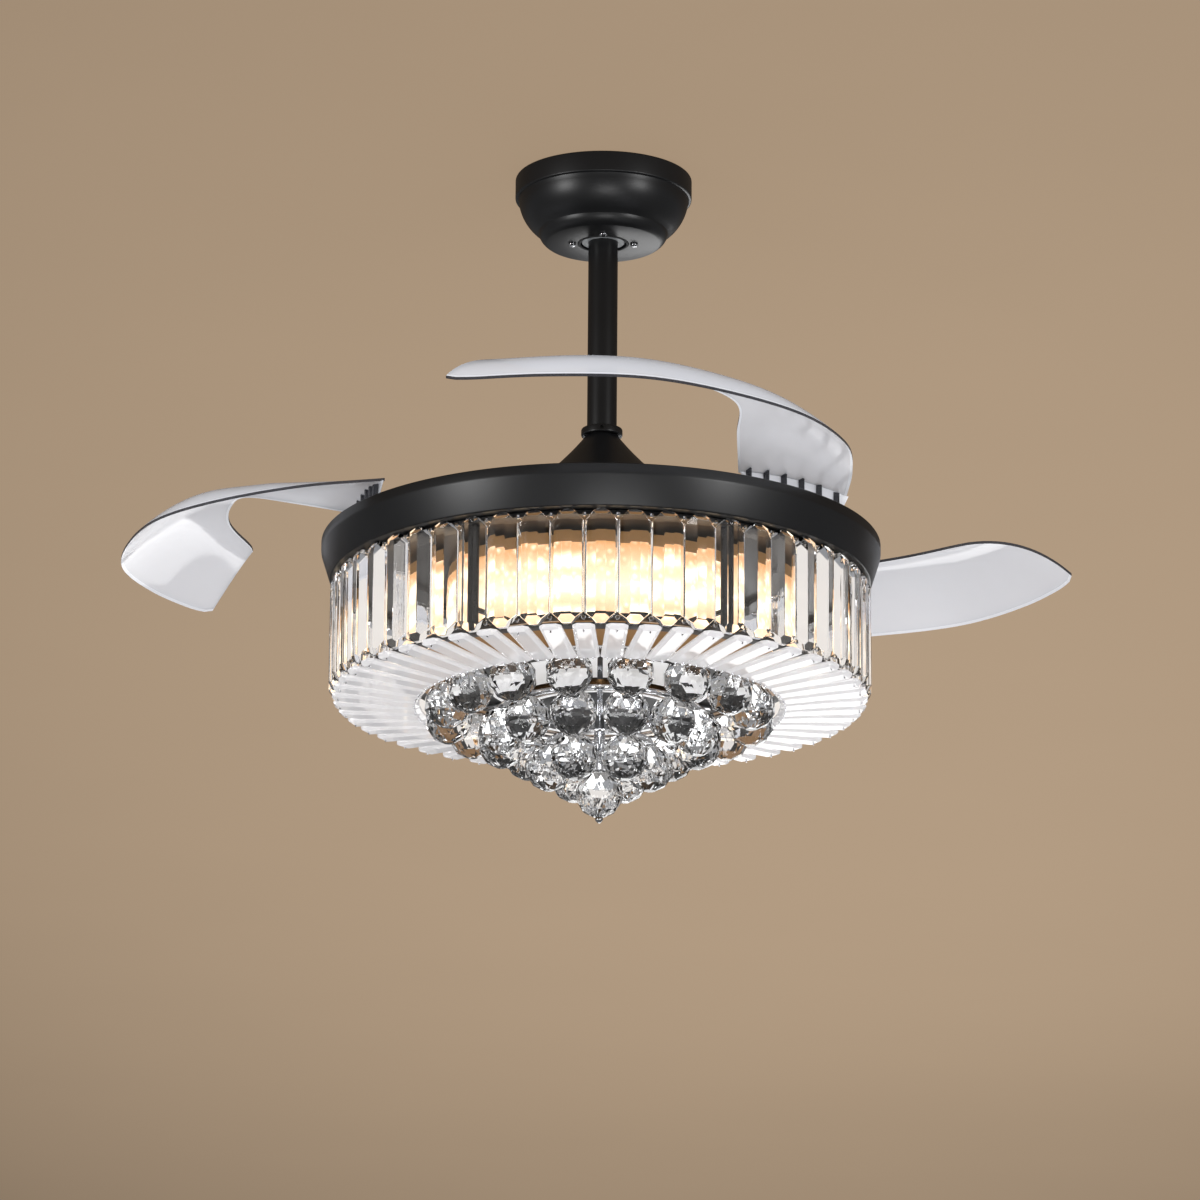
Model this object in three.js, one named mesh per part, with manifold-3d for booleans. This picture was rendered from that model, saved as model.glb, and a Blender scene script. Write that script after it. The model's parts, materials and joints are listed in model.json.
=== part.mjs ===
// Ceiling fan with three retracting clear blades and a round crystal light kit.
// Millimetres, +Z up. The origin is on the ceiling, in the middle of the hanger bracket's top face.
// Heights inside the fan head are counted from the top edge of the black rim, which is RIM_DROP below.

import * as THREE from 'three';
import { mergeVertices } from 'three/addons/utils/BufferGeometryUtils.js';
import Module from 'manifold-3d';

const wasm = await Module();
wasm.setup();

// ---------------------------------------------------------------- driving dimensions

const GAP = 0.3; // clearance between pieces that touch
const RIM_DROP = 348; // ceiling to the top edge of the rim

const RIM_R = 250;
const CANOPY_R = 80;
const CANOPY_H = 61;
const CANOPY_WALL = 1.5;
const CANOPY_BAND = 19; // straight band under the ceiling
const CANOPY_NECK_R = 77; // top of the bowl, under the band
const CANOPY_STEP_R = 60; // second step of the bowl
const CANOPY_STEP_H = 50; // ceiling to the second step
const CANOPY_FLAT_R = 52;
const CANOPY_BULGE = 3; // how far the bowl swells past a straight line
const SEAL_R = 20.6; // bore of the rubber ring round the rod
const SEAL_T = 2.5;
const CANOPY_SCREW_R = 28; // pitch radius of the four screws
const SCREW_SHANK_R = 1.8;
const SCREW_HEAD_R = 3.6;
const SCREW_HEAD_H = 2.4;
const SCREW_LENGTH = 5.5;

const BRACKET_LENGTH = 104;
const BRACKET_WIDTH = 34;
const BRACKET_T = 2.5;
const SEAT_R = 33.5; // outside of the ball's seat
const SEAT_LIP_R = 21; // hole under the ball
const BALL_R = 27;
const BALL_CLEAR = 0.5; // clearance between round surfaces that turn in each other
const LINER_T = 1.6; // nylon ring between the ball and its seat
const LINER_LOW = -24; // its lower and upper edge, in degrees of latitude on the ball
const LINER_HIGH = -4;
const BALL_LIFT = 20; // centre of the ball above the canopy's lower face
const RECEIVER = { x: 34, y: 92, z: 11 };

const ROD_R = 13.35;
const ROD_WALL = 1.85;
const ROD_OVER_BALL = 21; // rod above the ball's centre
const ROD_PIN_R = 3;
const CABLE_R = 3.6;
const COLLAR_R = 18.6;
const COLLAR_H = 7;
const CONE_TOP = 103; // above the rim
const CONE_BASE = 42;
const CONE_R = 72;
const CONE_WALL = 1.2;
const ROD_END = 58; // lower end of the rod above the rim
const YOKE_R = 17.5;
const YOKE_TOP = 90;
const YOKE_BASE = 38;

const SHAFT_R = 9;
const SHAFT_BORE_R = 5.5;
const SHAFT_END = -58;
const MOTOR_R = 60;
const MOTOR_TOP = 34;
const MOTOR_BASE = -28;
const MOTOR_WALL = 3;
const MOTOR_SPLIT = 0; // joint between the two rotor shells
const BEARING_R = 16.5;
const BEARING_H = 8;
const STATOR_R = 46;
const STATOR_H = 24;
const STATOR_TEETH = 9;
const MAGNET_T = 5;
const AIR_GAP = 1.2;

const DISC_TOP = -17;
const DISC_T = 3;
const BLADE_COUNT = 3;
const BLADE_AZIMUTH = 204; // middle of the first blade's root
const PIVOT_INSET = 38; // pivot inside the rim, along the root
const PIVOT_Y = 30; // pivot off the root's middle line
const PIVOT_PIN_R = 4;
const PIVOT_BOSS_R = 9;
const HINGE_BASE_T = 3;
const ARM_T = 9;
const ARM_TOP = -1.5;
const ARM_REACH = 26; // how far the arm and the blade's foot pass the pivot, inside the rim
const SPRING_WIRE = 1.6;
const BLADE_T = 2.6;
const BLADE_CAMBER = 12;
const BLADE_SECTIONS = 13;
const BLADE_CHORD_STEPS = 5;
const BLADE_RIBS = 6;
const BLADE_RIB_PITCH = 15.5;
const BLADE_RIB_T = 2;
const BLADE_ROOT_Y = -36; // middle of the root, from the pivot
const BLADE_FOOT = { x0: 2, y0: -78, y1: 8, t: 2.2 };
const REST_OPENING = [2.5, 1, -8]; // degrees each blade stands past or short of the drawn shape

// Edges of one blade from its pivot: x outwards through the root's middle, y across, z above the rim.
const BLADE_OUTER = [
  [19, 19, 18], [73, -33, 18.5], [126, -100, 15.5], [150, -177, 16.5],
  [144, -258, 18], [117, -338, 19], [59, -399, 19.5], [-17, -447, 20.5],
];
const BLADE_INNER = [
  [-8, -92, 21], [31, -136, 37], [65, -174, 49], [56, -232, 58], [30, -293, 60], [-15, -341, 56],
];
const BLADE_TIP_BOW = 10; // how far the cut end bulges

const RIM_BAND = 9; // straight part of the rim
const RIM_H = 36;
const RIM_FOOT_R = 241.5;
const PAN_WALL = 2;
const PAN_HOLE_R = 20;

const DIFFUSER_R = 180;
const DIFFUSER_T = 4;
const DIFFUSER_TOP = -50;
const DIFFUSER_BASE = -114;
const LAMP_PLATE_Z = -46;
const LAMP_PLATE_CLEAR = 4; // gap inside the diffuser
const LAMP_PLATE_R = DIFFUSER_R - DIFFUSER_T - LAMP_PLATE_CLEAR;
const LAMP_PLATE_T = 1.5;
const BULB_COUNT = 8;
const BULB_RING_R = 140;
const BULB_R = 7;
const BULB_LENGTH = 46;
const BULB_CAP = 13; // length of the ceramic cap

const BAR_COUNT = 51;
const BAR_TOP = -37;
const BAR_BASE = -140;
const BAR_R = RIM_FOOT_R; // front facet, in line with the foot of the rim
const BAR_FACET = 8.7; // width of the front facet
const BAR_BEVEL = 5.4; // how far the side bevels fall back
const BAR_EDGE = 3; // thickness where two bars meet
const BAR_CORNER = 10.5; // corner cut off each end
const FRAME_CLEAR = 3.1; // gap between the frame and the backs of the bars
const FRAME_OUT_R = BAR_R - BAR_BEVEL - BAR_EDGE - FRAME_CLEAR;
const FRAME_W = 16;
const FRAME_IN_R = FRAME_OUT_R - FRAME_W;
const FRAME_T = 4;
const FRAME_STRUTS = 6;
const FRAME_STRUT_R = 2.5;
const RADIAL_OUT_R = BAR_R - 3.5;
const RADIAL_LENGTH = 78;
const RADIAL_IN_R = RADIAL_OUT_R - RADIAL_LENGTH;
const RADIAL_W = 19.5;
const RADIAL_T = 4.5;
const RADIAL_FALL = 6; // inner end lower than the outer end
const RADIAL_ROOT = 5; // width of the seam that joins the inner ends

const COLUMN_R = 30;
const COLUMN_WALL = 2;
const CRYSTAL_BALL_R = 21;
const BALL_EYE = 18.9; // height of the thread hole above a ball's centre
const TIER_CLEAR = 2; // gap between the widest tier and the radial crystals
const TIER_OUT_R = RADIAL_IN_R - CRYSTAL_BALL_R - TIER_CLEAR;

/** Tier of balls, stepped in from the widest one and hung below the bars, as many as the spacing allows. */
const tierOf = (name, inset, drop, spacing) => {
  const radius = TIER_OUT_R - inset;
  const count = Math.floor(Math.PI / Math.asin(Math.min(1, spacing / 2 / radius)));
  return { name, radius, z: BAR_BASE - drop, count, turn: 180 / count };
};

const TIERS = [
  tierOf('ball_tier_1', 0, 15, 53.4),
  tierOf('ball_tier_2', 47, 38, 46.5),
  tierOf('ball_tier_3', 92.5, 65, 44.4),
];
const TIER_RING_W = 8;
const TIER_RING_T = 3;
const BALL_WIRE_R = 1.2; // wire over the balls of a tier
const CENTRE_BALL_Z = BAR_BASE - 89;
const FINIAL_R = 3.5;
const FINIAL_H = 5;

// Sides of round pieces, by size.
const LARGE = 36;
const MEDIUM = 24;
const ROUND = 16;
const SMALL = 8;

/** Radius of a many-sided hole whose flats clear a pin turned to any angle. */
const holeFor = (r, sides) => (r + GAP) / Math.cos(Math.PI / sides);

// ---------------------------------------------------------------- finishes

const finish = (color, roughness, metalness, opacity = 1) =>
  new THREE.MeshStandardMaterial({ color, roughness, metalness, opacity, transparent: opacity < 1 });

const BLACK = () => finish(0x141414, 0.42, 0.6);
const BLACK_PLASTIC = () => finish(0x181818, 0.5, 0.0);
const STEEL = () => finish(0xb5b7ba, 0.35, 1.0);
const CHROME = () => finish(0xd9dbde, 0.12, 1.0);
const NYLON = () => finish(0xb9bbbd, 0.5, 0.0);
const RUBBER = () => finish(0x0d0d0d, 0.85, 0.0);
const COPPER = () => finish(0xa9622f, 0.35, 1.0);
const MAGNET = () => finish(0x3a3b3d, 0.4, 0.7);
const WHITE = () => finish(0xe9e6df, 0.45, 0.0);
const CLEAR = () => finish(0xdfe2ea, 0.06, 0.0, 0.35);
const CRYSTAL = () => finish(0xf2f3f6, 0.02, 0.0, 0.35);
const GLOW = () => finish(0xffe2b0, 0.35, 0.0, 0.8);

// ---------------------------------------------------------------- solids

const radians = (degrees) => (degrees * Math.PI) / 180;
const polar = (radius, degrees) => [radius * Math.cos(radians(degrees)), radius * Math.sin(radians(degrees))];
const fromRim = (z) => z - RIM_DROP;

/** Geometry with shared vertices and no empty triangles, as a manifold solid with its faces out. */
function toSolid(geometry) {
  const bare = new THREE.BufferGeometry();
  bare.setAttribute('position', geometry.getAttribute('position').clone());
  if (geometry.index) bare.setIndex(geometry.index.clone());
  const merged = mergeVertices(bare, 1e-4);
  const triangles = [];
  for (let i = 0; i < merged.index.count; i += 3) {
    const [a, b, c] = [0, 1, 2].map((k) => merged.index.getX(i + k));
    if (a !== b && b !== c && c !== a) triangles.push(a, b, c);
  }
  const vertProperties = new Float32Array(merged.getAttribute('position').array);
  const build = (triVerts) => new wasm.Manifold(new wasm.Mesh({ numProp: 3, vertProperties, triVerts }));
  const solid = build(new Uint32Array(triangles));
  if (solid.volume() > 0) return solid;
  return build(new Uint32Array(triangles.reverse()));
}

/** Manifold solid back to a three.js geometry. */
function toGeometry(solid) {
  const { numProp, vertProperties, triVerts } = solid.getMesh();
  const points = new Float32Array((vertProperties.length / numProp) * 3);
  for (let i = 0; i < points.length / 3; i += 1) {
    points.set(vertProperties.subarray(i * numProp, i * numProp + 3), i * 3);
  }
  const geometry = new THREE.BufferGeometry();
  geometry.setAttribute('position', new THREE.BufferAttribute(points, 3));
  geometry.setIndex(new THREE.BufferAttribute(new Uint32Array(triVerts), 1));
  return geometry;
}

const whole = (geometry) => toGeometry(toSolid(geometry));
const join = (...pieces) => toGeometry(pieces.map(toSolid).reduce((a, b) => a.add(b)));
const cut = (piece, ...tools) => toGeometry(tools.map(toSolid).reduce((a, b) => a.subtract(b), toSolid(piece)));
const common = (a, b) => toGeometry(toSolid(a).intersect(toSolid(b)));

/** Turned solid from [radius, height] pairs that close on themselves or on the axis. */
function turned(profile, segments = ROUND) {
  const onAxis = profile[0][0] === 0;
  const outline = onAxis ? profile : [...profile, profile[0]];
  const geometry = new THREE.LatheGeometry(outline.map(([r, z]) => new THREE.Vector2(r, z)), segments);
  return geometry.rotateX(Math.PI / 2);
}

const disc = (r, z0, z1, segments = ROUND) => turned([[0, z0], [r, z0], [r, z1], [0, z1]], segments);
const ring = (r0, r1, z0, z1, segments = ROUND) => turned([[r0, z0], [r1, z0], [r1, z1], [r0, z1]], segments);

/** Box between two corners. */
function block([x0, y0, z0], [x1, y1, z1]) {
  const geometry = new THREE.BoxGeometry(x1 - x0, y1 - y0, z1 - z0);
  return geometry.translate((x0 + x1) / 2, (y0 + y1) / 2, (z0 + z1) / 2);
}

/** Straight prism between two heights from an outline of [x, y] points, with optional holes. */
function prism(outline, z0, z1, holes = []) {
  const path = (points) => points.map(([x, y]) => new THREE.Vector2(x, y));
  const shape = new THREE.Shape(path(outline));
  holes.forEach((hole) => shape.holes.push(new THREE.Path(path(hole))));
  return new THREE.ExtrudeGeometry(shape, { depth: z1 - z0, bevelEnabled: false }).translate(0, 0, z0);
}

const circle = (r, count, x = 0, y = 0) =>
  Array.from({ length: count }, (_, i) => {
    const [dx, dy] = polar(r, (i * 360) / count);
    return [x + dx, y + dy];
  });

/** Copies of a geometry turned about the fan's axis, as a list. */
const around = (count, turn, make) =>
  Array.from({ length: count }, (_, i) => make(i).rotateZ(radians(turn + (i * 360) / count)));

/** Round bar along X between two ends. */
const crossBar = (r, x0, x1, z, segments = SMALL) =>
  disc(r, x0, x1, segments).rotateY(Math.PI / 2).translate(0, 0, z);

// ---------------------------------------------------------------- assembly

const fan = new THREE.Group();

/** Adds a named piece to a group. */
function piece(name, geometry, material, parent = fan) {
  const mesh = new THREE.Mesh(whole(geometry), material);
  mesh.name = name;
  parent.add(mesh);
  return mesh;
}

const ballZ = -CANOPY_H + BALL_LIFT;
const seatBase = -CANOPY_H + CANOPY_WALL + 1;
const linerR = BALL_R + BALL_CLEAR;

/** Ceiling bracket: a flat plate, two legs and the ring in which the ball rests. */
function hangerBracket() {
  const halfX = BRACKET_LENGTH / 2;
  const halfY = BRACKET_WIDTH / 2;
  const legX = SEAT_R + GAP + 2;
  const plate = block([-halfX, -halfY, -BRACKET_T], [halfX, halfY, 0]);
  const legs = [-1, 1].map((side) => {
    const [inner, outer] = [legX - 4, legX + BRACKET_T - 2].map((x) => side * x).sort((a, b) => a - b);
    return block([inner, -halfY * 0.6, seatBase + 2], [outer, halfY * 0.6, -BRACKET_T / 2]);
  });
  const seat = disc(SEAT_R, seatBase, ballZ, MEDIUM);
  const hollow = new THREE.SphereGeometry(linerR + LINER_T + BALL_CLEAR, MEDIUM, 16)
    .rotateX(Math.PI / 2).translate(0, 0, ballZ);
  const mouth = disc(SEAT_LIP_R, seatBase - 1, ballZ);
  const screwTip = -CANOPY_H + SCREW_LENGTH + GAP;
  const holes = around(4, 0, () => disc(SCREW_SHANK_R + GAP, seatBase - 1, screwTip, SMALL)
    .translate(CANOPY_SCREW_R, 0, 0));
  const slots = [-1, 1].map((side) => disc(3, -BRACKET_T - 1, 1, SMALL).translate(side * (halfX - 8), 0, 0));
  return cut(join(plate, ...legs, seat), hollow, mouth, ...holes, ...slots);
}

/** Canopy: a stepped bowl with a flat floor and a round hole for the rod. */
function canopyShell() {
  const bulged = ([r0, z0], [r1, z1], bulge, steps) =>
    Array.from({ length: steps + 1 }, (_, i) => {
      const t = i / steps;
      const swell = 4 * t * (1 - t) * bulge;
      return [r0 + (r1 - r0) * t + swell, z0 + (z1 - z0) * t - swell * 0.6];
    });
  const bowlTop = -CANOPY_BAND - 2;
  const outer = [
    [CANOPY_R, 0],
    [CANOPY_R, -CANOPY_BAND],
    ...bulged([CANOPY_NECK_R, bowlTop], [CANOPY_STEP_R, -CANOPY_STEP_H], CANOPY_BULGE, 3),
    ...bulged([CANOPY_STEP_R - 1.2, -CANOPY_STEP_H - 1.2], [CANOPY_FLAT_R, -CANOPY_H], CANOPY_BULGE / 3, 2),
  ];
  const inner = [
    [CANOPY_FLAT_R - CANOPY_WALL, -CANOPY_H + CANOPY_WALL],
    [CANOPY_STEP_R - 2 * CANOPY_WALL, -CANOPY_STEP_H],
    [CANOPY_NECK_R - CANOPY_WALL, bowlTop],
    [CANOPY_R - CANOPY_WALL, -CANOPY_BAND],
    [CANOPY_R - CANOPY_WALL, 0],
  ];
  const holeR = SEAL_R + SEAL_T + GAP;
  const shell = turned([...outer, [holeR, -CANOPY_H], [holeR, -CANOPY_H + CANOPY_WALL], ...inner], MEDIUM);
  const holes = around(4, 0, () => disc(SCREW_SHANK_R + GAP, -CANOPY_H - 1, -CANOPY_H + CANOPY_WALL + 1, SMALL)
    .translate(CANOPY_SCREW_R, 0, 0));
  return cut(shell, ...holes);
}

/** Pan-head screw with a crossed slot, its head below the given height. */
function headScrew(z, length) {
  const slot = SCREW_HEAD_R * 0.62;
  const head = turned([
    [0, z - GAP - SCREW_HEAD_H],
    [SCREW_HEAD_R * 0.7, z - GAP - SCREW_HEAD_H],
    [SCREW_HEAD_R, z - GAP - SCREW_HEAD_H * 0.5],
    [SCREW_HEAD_R, z - GAP],
    [SCREW_SHANK_R, z - GAP],
    [SCREW_SHANK_R, z + length],
    [0, z + length],
  ], SMALL);
  const deep = z - GAP - SCREW_HEAD_H * 0.5;
  const low = z - GAP - SCREW_HEAD_H - 1;
  return cut(
    head,
    block([-slot, -0.5, low], [slot, 0.5, deep]),
    block([-0.5, -slot, low], [0.5, slot, deep]),
  );
}

function ceilingMount() {
  piece('hanger_bracket', hangerBracket(), STEEL());
  piece('canopy', canopyShell(), BLACK());
  const sealTop = -CANOPY_H + CANOPY_WALL - GAP;
  piece('canopy_seal', ring(SEAL_R, SEAL_R + SEAL_T, -CANOPY_H - 0.6, sealTop, ROUND), RUBBER());
  for (let i = 0; i < 4; i += 1) {
    const screw = piece(`canopy_screw_${i + 1}`, headScrew(-CANOPY_H, SCREW_LENGTH), CHROME());
    const [x, y] = polar(CANOPY_SCREW_R, i * 90);
    screw.position.set(x, y, 0);
  }
  const top = -BRACKET_T - GAP;
  piece(
    'receiver_box',
    block([-RECEIVER.x / 2, -RECEIVER.y / 2, top - RECEIVER.z], [RECEIVER.x / 2, RECEIVER.y / 2, top]),
    BLACK_PLASTIC(),
  );
}

/** Nylon ball on the rod: a sphere cut flat below, with a counterbore for the cross pin above. */
function hangerBall() {
  const sphere = new THREE.SphereGeometry(BALL_R, ROUND, 10).rotateX(Math.PI / 2).translate(0, 0, ballZ);
  const shelf = ballZ + ROD_OVER_BALL - 13;
  return cut(
    sphere,
    disc(ROD_R + GAP, ballZ - BALL_R - 1, ballZ + BALL_R + 1),
    disc(BALL_R * 0.82, shelf, ballZ + BALL_R + 1),
    disc(BALL_R, ballZ - BALL_R - 1, ballZ - BALL_LIFT + 0.8),
  );
}

/** Rod tube with the cross holes for its two pins. */
function rodTube() {
  const top = ballZ + ROD_OVER_BALL;
  return cut(
    ring(ROD_R - ROD_WALL, ROD_R, fromRim(ROD_END), top),
    crossBar(ROD_PIN_R + GAP, -ROD_R - 2, ROD_R + 2, top - 9.5),
    crossBar(ROD_PIN_R + GAP, -ROD_R - 2, ROD_R + 2, fromRim((ROD_END + YOKE_TOP) / 2)),
  );
}

/** Trumpet-shaped cover over the coupling. */
function coneCover() {
  const steps = 5;
  const flare = (u) => [
    ROD_R + GAP + CONE_WALL + (CONE_R - ROD_R - CONE_WALL) * (0.75 * u + 0.25 * u ** 2),
    fromRim(CONE_TOP - (CONE_TOP - CONE_BASE - 4) * u),
  ];
  const outer = Array.from({ length: steps + 1 }, (_, i) => flare(i / steps));
  outer.push([outer[steps][0], fromRim(CONE_BASE)]);
  const inner = [...outer].reverse().map(([r, z]) => [r - CONE_WALL, z]);
  return turned([...outer, ...inner], MEDIUM);
}

/** Coupling that joins the rod to the motor shaft. */
function yoke() {
  const body = turned([
    [SHAFT_R + GAP, fromRim(YOKE_BASE)],
    [YOKE_R + 4, fromRim(YOKE_BASE)],
    [YOKE_R + 4, fromRim(YOKE_BASE + 6)],
    [YOKE_R, fromRim(YOKE_BASE + 9)],
    [YOKE_R, fromRim(YOKE_TOP)],
    [ROD_R + GAP, fromRim(YOKE_TOP)],
    [ROD_R + GAP, fromRim(ROD_END) - GAP],
    [SHAFT_R + GAP, fromRim(ROD_END) - GAP],
  ]);
  const pinZ = fromRim((ROD_END + YOKE_TOP) / 2);
  return cut(body, crossBar(ROD_PIN_R + GAP, -YOKE_R - 6, YOKE_R + 6, pinZ));
}

/** Nylon ring between the ball and its seat, following both round surfaces. */
function ballLiner() {
  const latitudes = [LINER_LOW, (LINER_LOW + LINER_HIGH) / 2, LINER_HIGH];
  const face = (r) => latitudes.map((a) => [r * Math.cos(radians(a)), ballZ + r * Math.sin(radians(a))]);
  return turned([...face(linerR + LINER_T), ...face(linerR).reverse()], MEDIUM);
}

function suspension() {
  const rodTop = ballZ + ROD_OVER_BALL;
  piece('ball_liner', ballLiner(), NYLON());
  piece('hanger_ball', hangerBall(), NYLON());
  const ballPin = crossBar(ROD_PIN_R, -BALL_R * 0.78, BALL_R * 0.78, rodTop - 9.5);
  piece('ball_pin', ballPin, STEEL());
  piece('downrod', rodTube(), BLACK());
  const pinZ = fromRim((ROD_END + YOKE_TOP) / 2);
  piece('supply_cable', ring(0.8, CABLE_R, pinZ + ROD_PIN_R + 2, rodTop - 9.5 - ROD_PIN_R - 1, SMALL), RUBBER());
  const collarBase = fromRim(CONE_TOP) + GAP;
  const collar = turned([
    [ROD_R + GAP, collarBase],
    [COLLAR_R - 1.5, collarBase],
    [COLLAR_R, collarBase + 1.5],
    [COLLAR_R, collarBase + COLLAR_H - 1.5],
    [COLLAR_R - 1.5, collarBase + COLLAR_H],
    [ROD_R + GAP, collarBase + COLLAR_H],
  ]);
  piece('rod_collar', collar, BLACK());
  piece('cone_cover', coneCover(), BLACK());
  piece('coupling_yoke', yoke(), STEEL());
  piece('clevis_pin', crossBar(ROD_PIN_R, -YOKE_R - 3, YOKE_R + 3, pinZ), STEEL());
}

// ---------------------------------------------------------------- motor

const motorMid = (MOTOR_TOP + MOTOR_BASE) / 2;

/** Laminated stator: a ring with wide-headed teeth that point outwards. */
function statorOutline() {
  const points = [];
  const toothAngle = 360 / STATOR_TEETH;
  for (let i = 0; i < STATOR_TEETH; i += 1) {
    const mid = i * toothAngle;
    const headHalf = toothAngle * 0.38;
    points.push(
      polar(STATOR_R * 0.55, mid - toothAngle * 0.28),
      polar(STATOR_R * 0.86, mid - toothAngle * 0.16),
      polar(STATOR_R * 0.9, mid - headHalf),
      polar(STATOR_R, mid - headHalf),
      polar(STATOR_R, mid + headHalf),
      polar(STATOR_R * 0.9, mid + headHalf),
      polar(STATOR_R * 0.86, mid + toothAngle * 0.16),
      polar(STATOR_R * 0.55, mid + toothAngle * 0.28),
    );
  }
  return points;
}

/** Winding: a ring over and under the stator, joined through its slots. */
function winding(z0, z1) {
  const height = 6;
  const rings = [[z1 + GAP, z1 + GAP + height], [z0 - GAP - height, z0 - GAP]]
    .map(([low, high]) => ring(STATOR_R * 0.6, STATOR_R * 0.84, low, high));
  const half = radians(360 / STATOR_TEETH) * STATOR_R * 0.7 * 0.2;
  const legs = around(STATOR_TEETH, 180 / STATOR_TEETH, () =>
    block([STATOR_R * 0.64, -half, z0 - 2], [STATOR_R * 0.8, half, z1 + 2]));
  return join(...rings, ...legs);
}

function motor(rotor) {
  const [z0, z1] = [motorMid - STATOR_H / 2, motorMid + STATOR_H / 2].map(fromRim);
  piece('motor_shaft', ring(SHAFT_BORE_R, SHAFT_R, fromRim(SHAFT_END), fromRim(ROD_END) - 2), STEEL());
  piece('stator_core', prism(statorOutline(), z0, z1, [circle(SHAFT_R + GAP, ROUND)]), STEEL());
  piece('stator_winding', winding(z0, z1), COPPER());
  const bearing = (z) => ring(SHAFT_R + GAP, BEARING_R, z, z + BEARING_H);
  piece('bearing_upper', bearing(fromRim(MOTOR_TOP - MOTOR_WALL - GAP - BEARING_H)), STEEL());
  piece('bearing_lower', bearing(fromRim(MOTOR_BASE + MOTOR_WALL + GAP)), STEEL());

  const split = fromRim(MOTOR_SPLIT);
  const upper = turned([
    [BEARING_R + GAP, fromRim(MOTOR_TOP - MOTOR_WALL)],
    [BEARING_R + GAP, fromRim(MOTOR_TOP - MOTOR_WALL - BEARING_H)],
    [BEARING_R + 4, fromRim(MOTOR_TOP - MOTOR_WALL - BEARING_H)],
    [BEARING_R + 4, fromRim(MOTOR_TOP - MOTOR_WALL)],
    [MOTOR_R - MOTOR_WALL, fromRim(MOTOR_TOP - MOTOR_WALL)],
    [MOTOR_R - MOTOR_WALL, split + GAP],
    [MOTOR_R, split + GAP],
    [MOTOR_R, fromRim(MOTOR_TOP)],
    [SHAFT_R + 2, fromRim(MOTOR_TOP)],
    [SHAFT_R + 2, fromRim(MOTOR_TOP - MOTOR_WALL)],
  ], MEDIUM);
  piece('rotor_upper_shell', upper, BLACK(), rotor);
  const flangeR = MOTOR_R + 12;
  const flangeZ = fromRim(DISC_TOP) + GAP;
  const lower = turned([
    [BEARING_R + GAP, fromRim(MOTOR_BASE + MOTOR_WALL)],
    [BEARING_R + GAP, fromRim(MOTOR_BASE + MOTOR_WALL + BEARING_H)],
    [BEARING_R + 4, fromRim(MOTOR_BASE + MOTOR_WALL + BEARING_H)],
    [BEARING_R + 4, fromRim(MOTOR_BASE + MOTOR_WALL)],
    [MOTOR_R - MOTOR_WALL, fromRim(MOTOR_BASE + MOTOR_WALL)],
    [MOTOR_R - MOTOR_WALL, split],
    [MOTOR_R, split],
    [MOTOR_R, flangeZ + MOTOR_WALL],
    [flangeR, flangeZ + MOTOR_WALL],
    [flangeR, flangeZ],
    [MOTOR_R, flangeZ],
    [MOTOR_R, fromRim(MOTOR_BASE)],
    [SHAFT_R + 2, fromRim(MOTOR_BASE)],
    [SHAFT_R + 2, fromRim(MOTOR_BASE + MOTOR_WALL)],
  ], MEDIUM);
  piece('rotor_lower_shell', lower, BLACK(), rotor);
  const magnetOut = MOTOR_R - MOTOR_WALL - GAP;
  const magnetIn = Math.max(magnetOut - MAGNET_T, STATOR_R + AIR_GAP);
  piece('magnet_ring', ring(magnetIn, magnetOut, z0, z1, MEDIUM), MAGNET(), rotor);
}

// ---------------------------------------------------------------- blades

const pivotX = RIM_R - PIVOT_INSET;
const pivotR = Math.hypot(pivotX, PIVOT_Y);
const armBase = ARM_TOP - ARM_T;
const hingeBaseTop = DISC_TOP + GAP + HINGE_BASE_T;

/** Plate under the blades, with a round window between each pair of hinges. */
function bladeDisc() {
  const outerR = pivotR + PIVOT_BOSS_R;
  const windowR = 26;
  const windows = Array.from({ length: BLADE_COUNT * 2 }, (_, i) => {
    const [x, y] = polar((MOTOR_R + outerR) / 2, (i * 180) / BLADE_COUNT + 30);
    return circle(windowR, ROUND, x, y);
  });
  const bolts = Array.from({ length: BLADE_COUNT }, (_, i) => {
    const [x, y] = polar(pivotR, BLADE_AZIMUTH + (i * 360) / BLADE_COUNT
      + THREE.MathUtils.radToDeg(Math.atan2(PIVOT_Y, pivotX)));
    return circle(holeFor(PIVOT_PIN_R, SMALL), SMALL, x, y);
  });
  return prism(
    circle(outerR, LARGE),
    fromRim(DISC_TOP - DISC_T),
    fromRim(DISC_TOP),
    [circle(MOTOR_R + GAP, MEDIUM), ...windows, ...bolts],
  );
}

/** Hinge base on the plate, drawn about its pivot. */
function hingeBase() {
  const base = prism(
    [[-14, 12], [-14, -34], [-6, -40], [8, -40], [12, -34], [12, 12]],
    fromRim(DISC_TOP) + GAP,
    fromRim(hingeBaseTop),
  );
  const bossTop = fromRim(armBase) - GAP;
  const boss = disc(PIVOT_BOSS_R, fromRim(DISC_TOP) + GAP, bossTop, ROUND);
  return cut(join(base, boss), disc(holeFor(PIVOT_PIN_R, SMALL), fromRim(DISC_TOP) - 1, bossTop + 1, SMALL));
}

/** Shoulder pin that the arm turns on. */
function pivotPin() {
  return turned([
    [0, fromRim(DISC_TOP - DISC_T)],
    [PIVOT_PIN_R, fromRim(DISC_TOP - DISC_T)],
    [PIVOT_PIN_R, fromRim(ARM_TOP) + GAP],
    [PIVOT_PIN_R + 3, fromRim(ARM_TOP) + GAP],
    [PIVOT_PIN_R + 3, fromRim(ARM_TOP) + GAP + 2],
    [PIVOT_PIN_R + 2, fromRim(ARM_TOP) + GAP + 3],
    [0, fromRim(ARM_TOP) + GAP + 3],
  ], SMALL);
}

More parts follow.
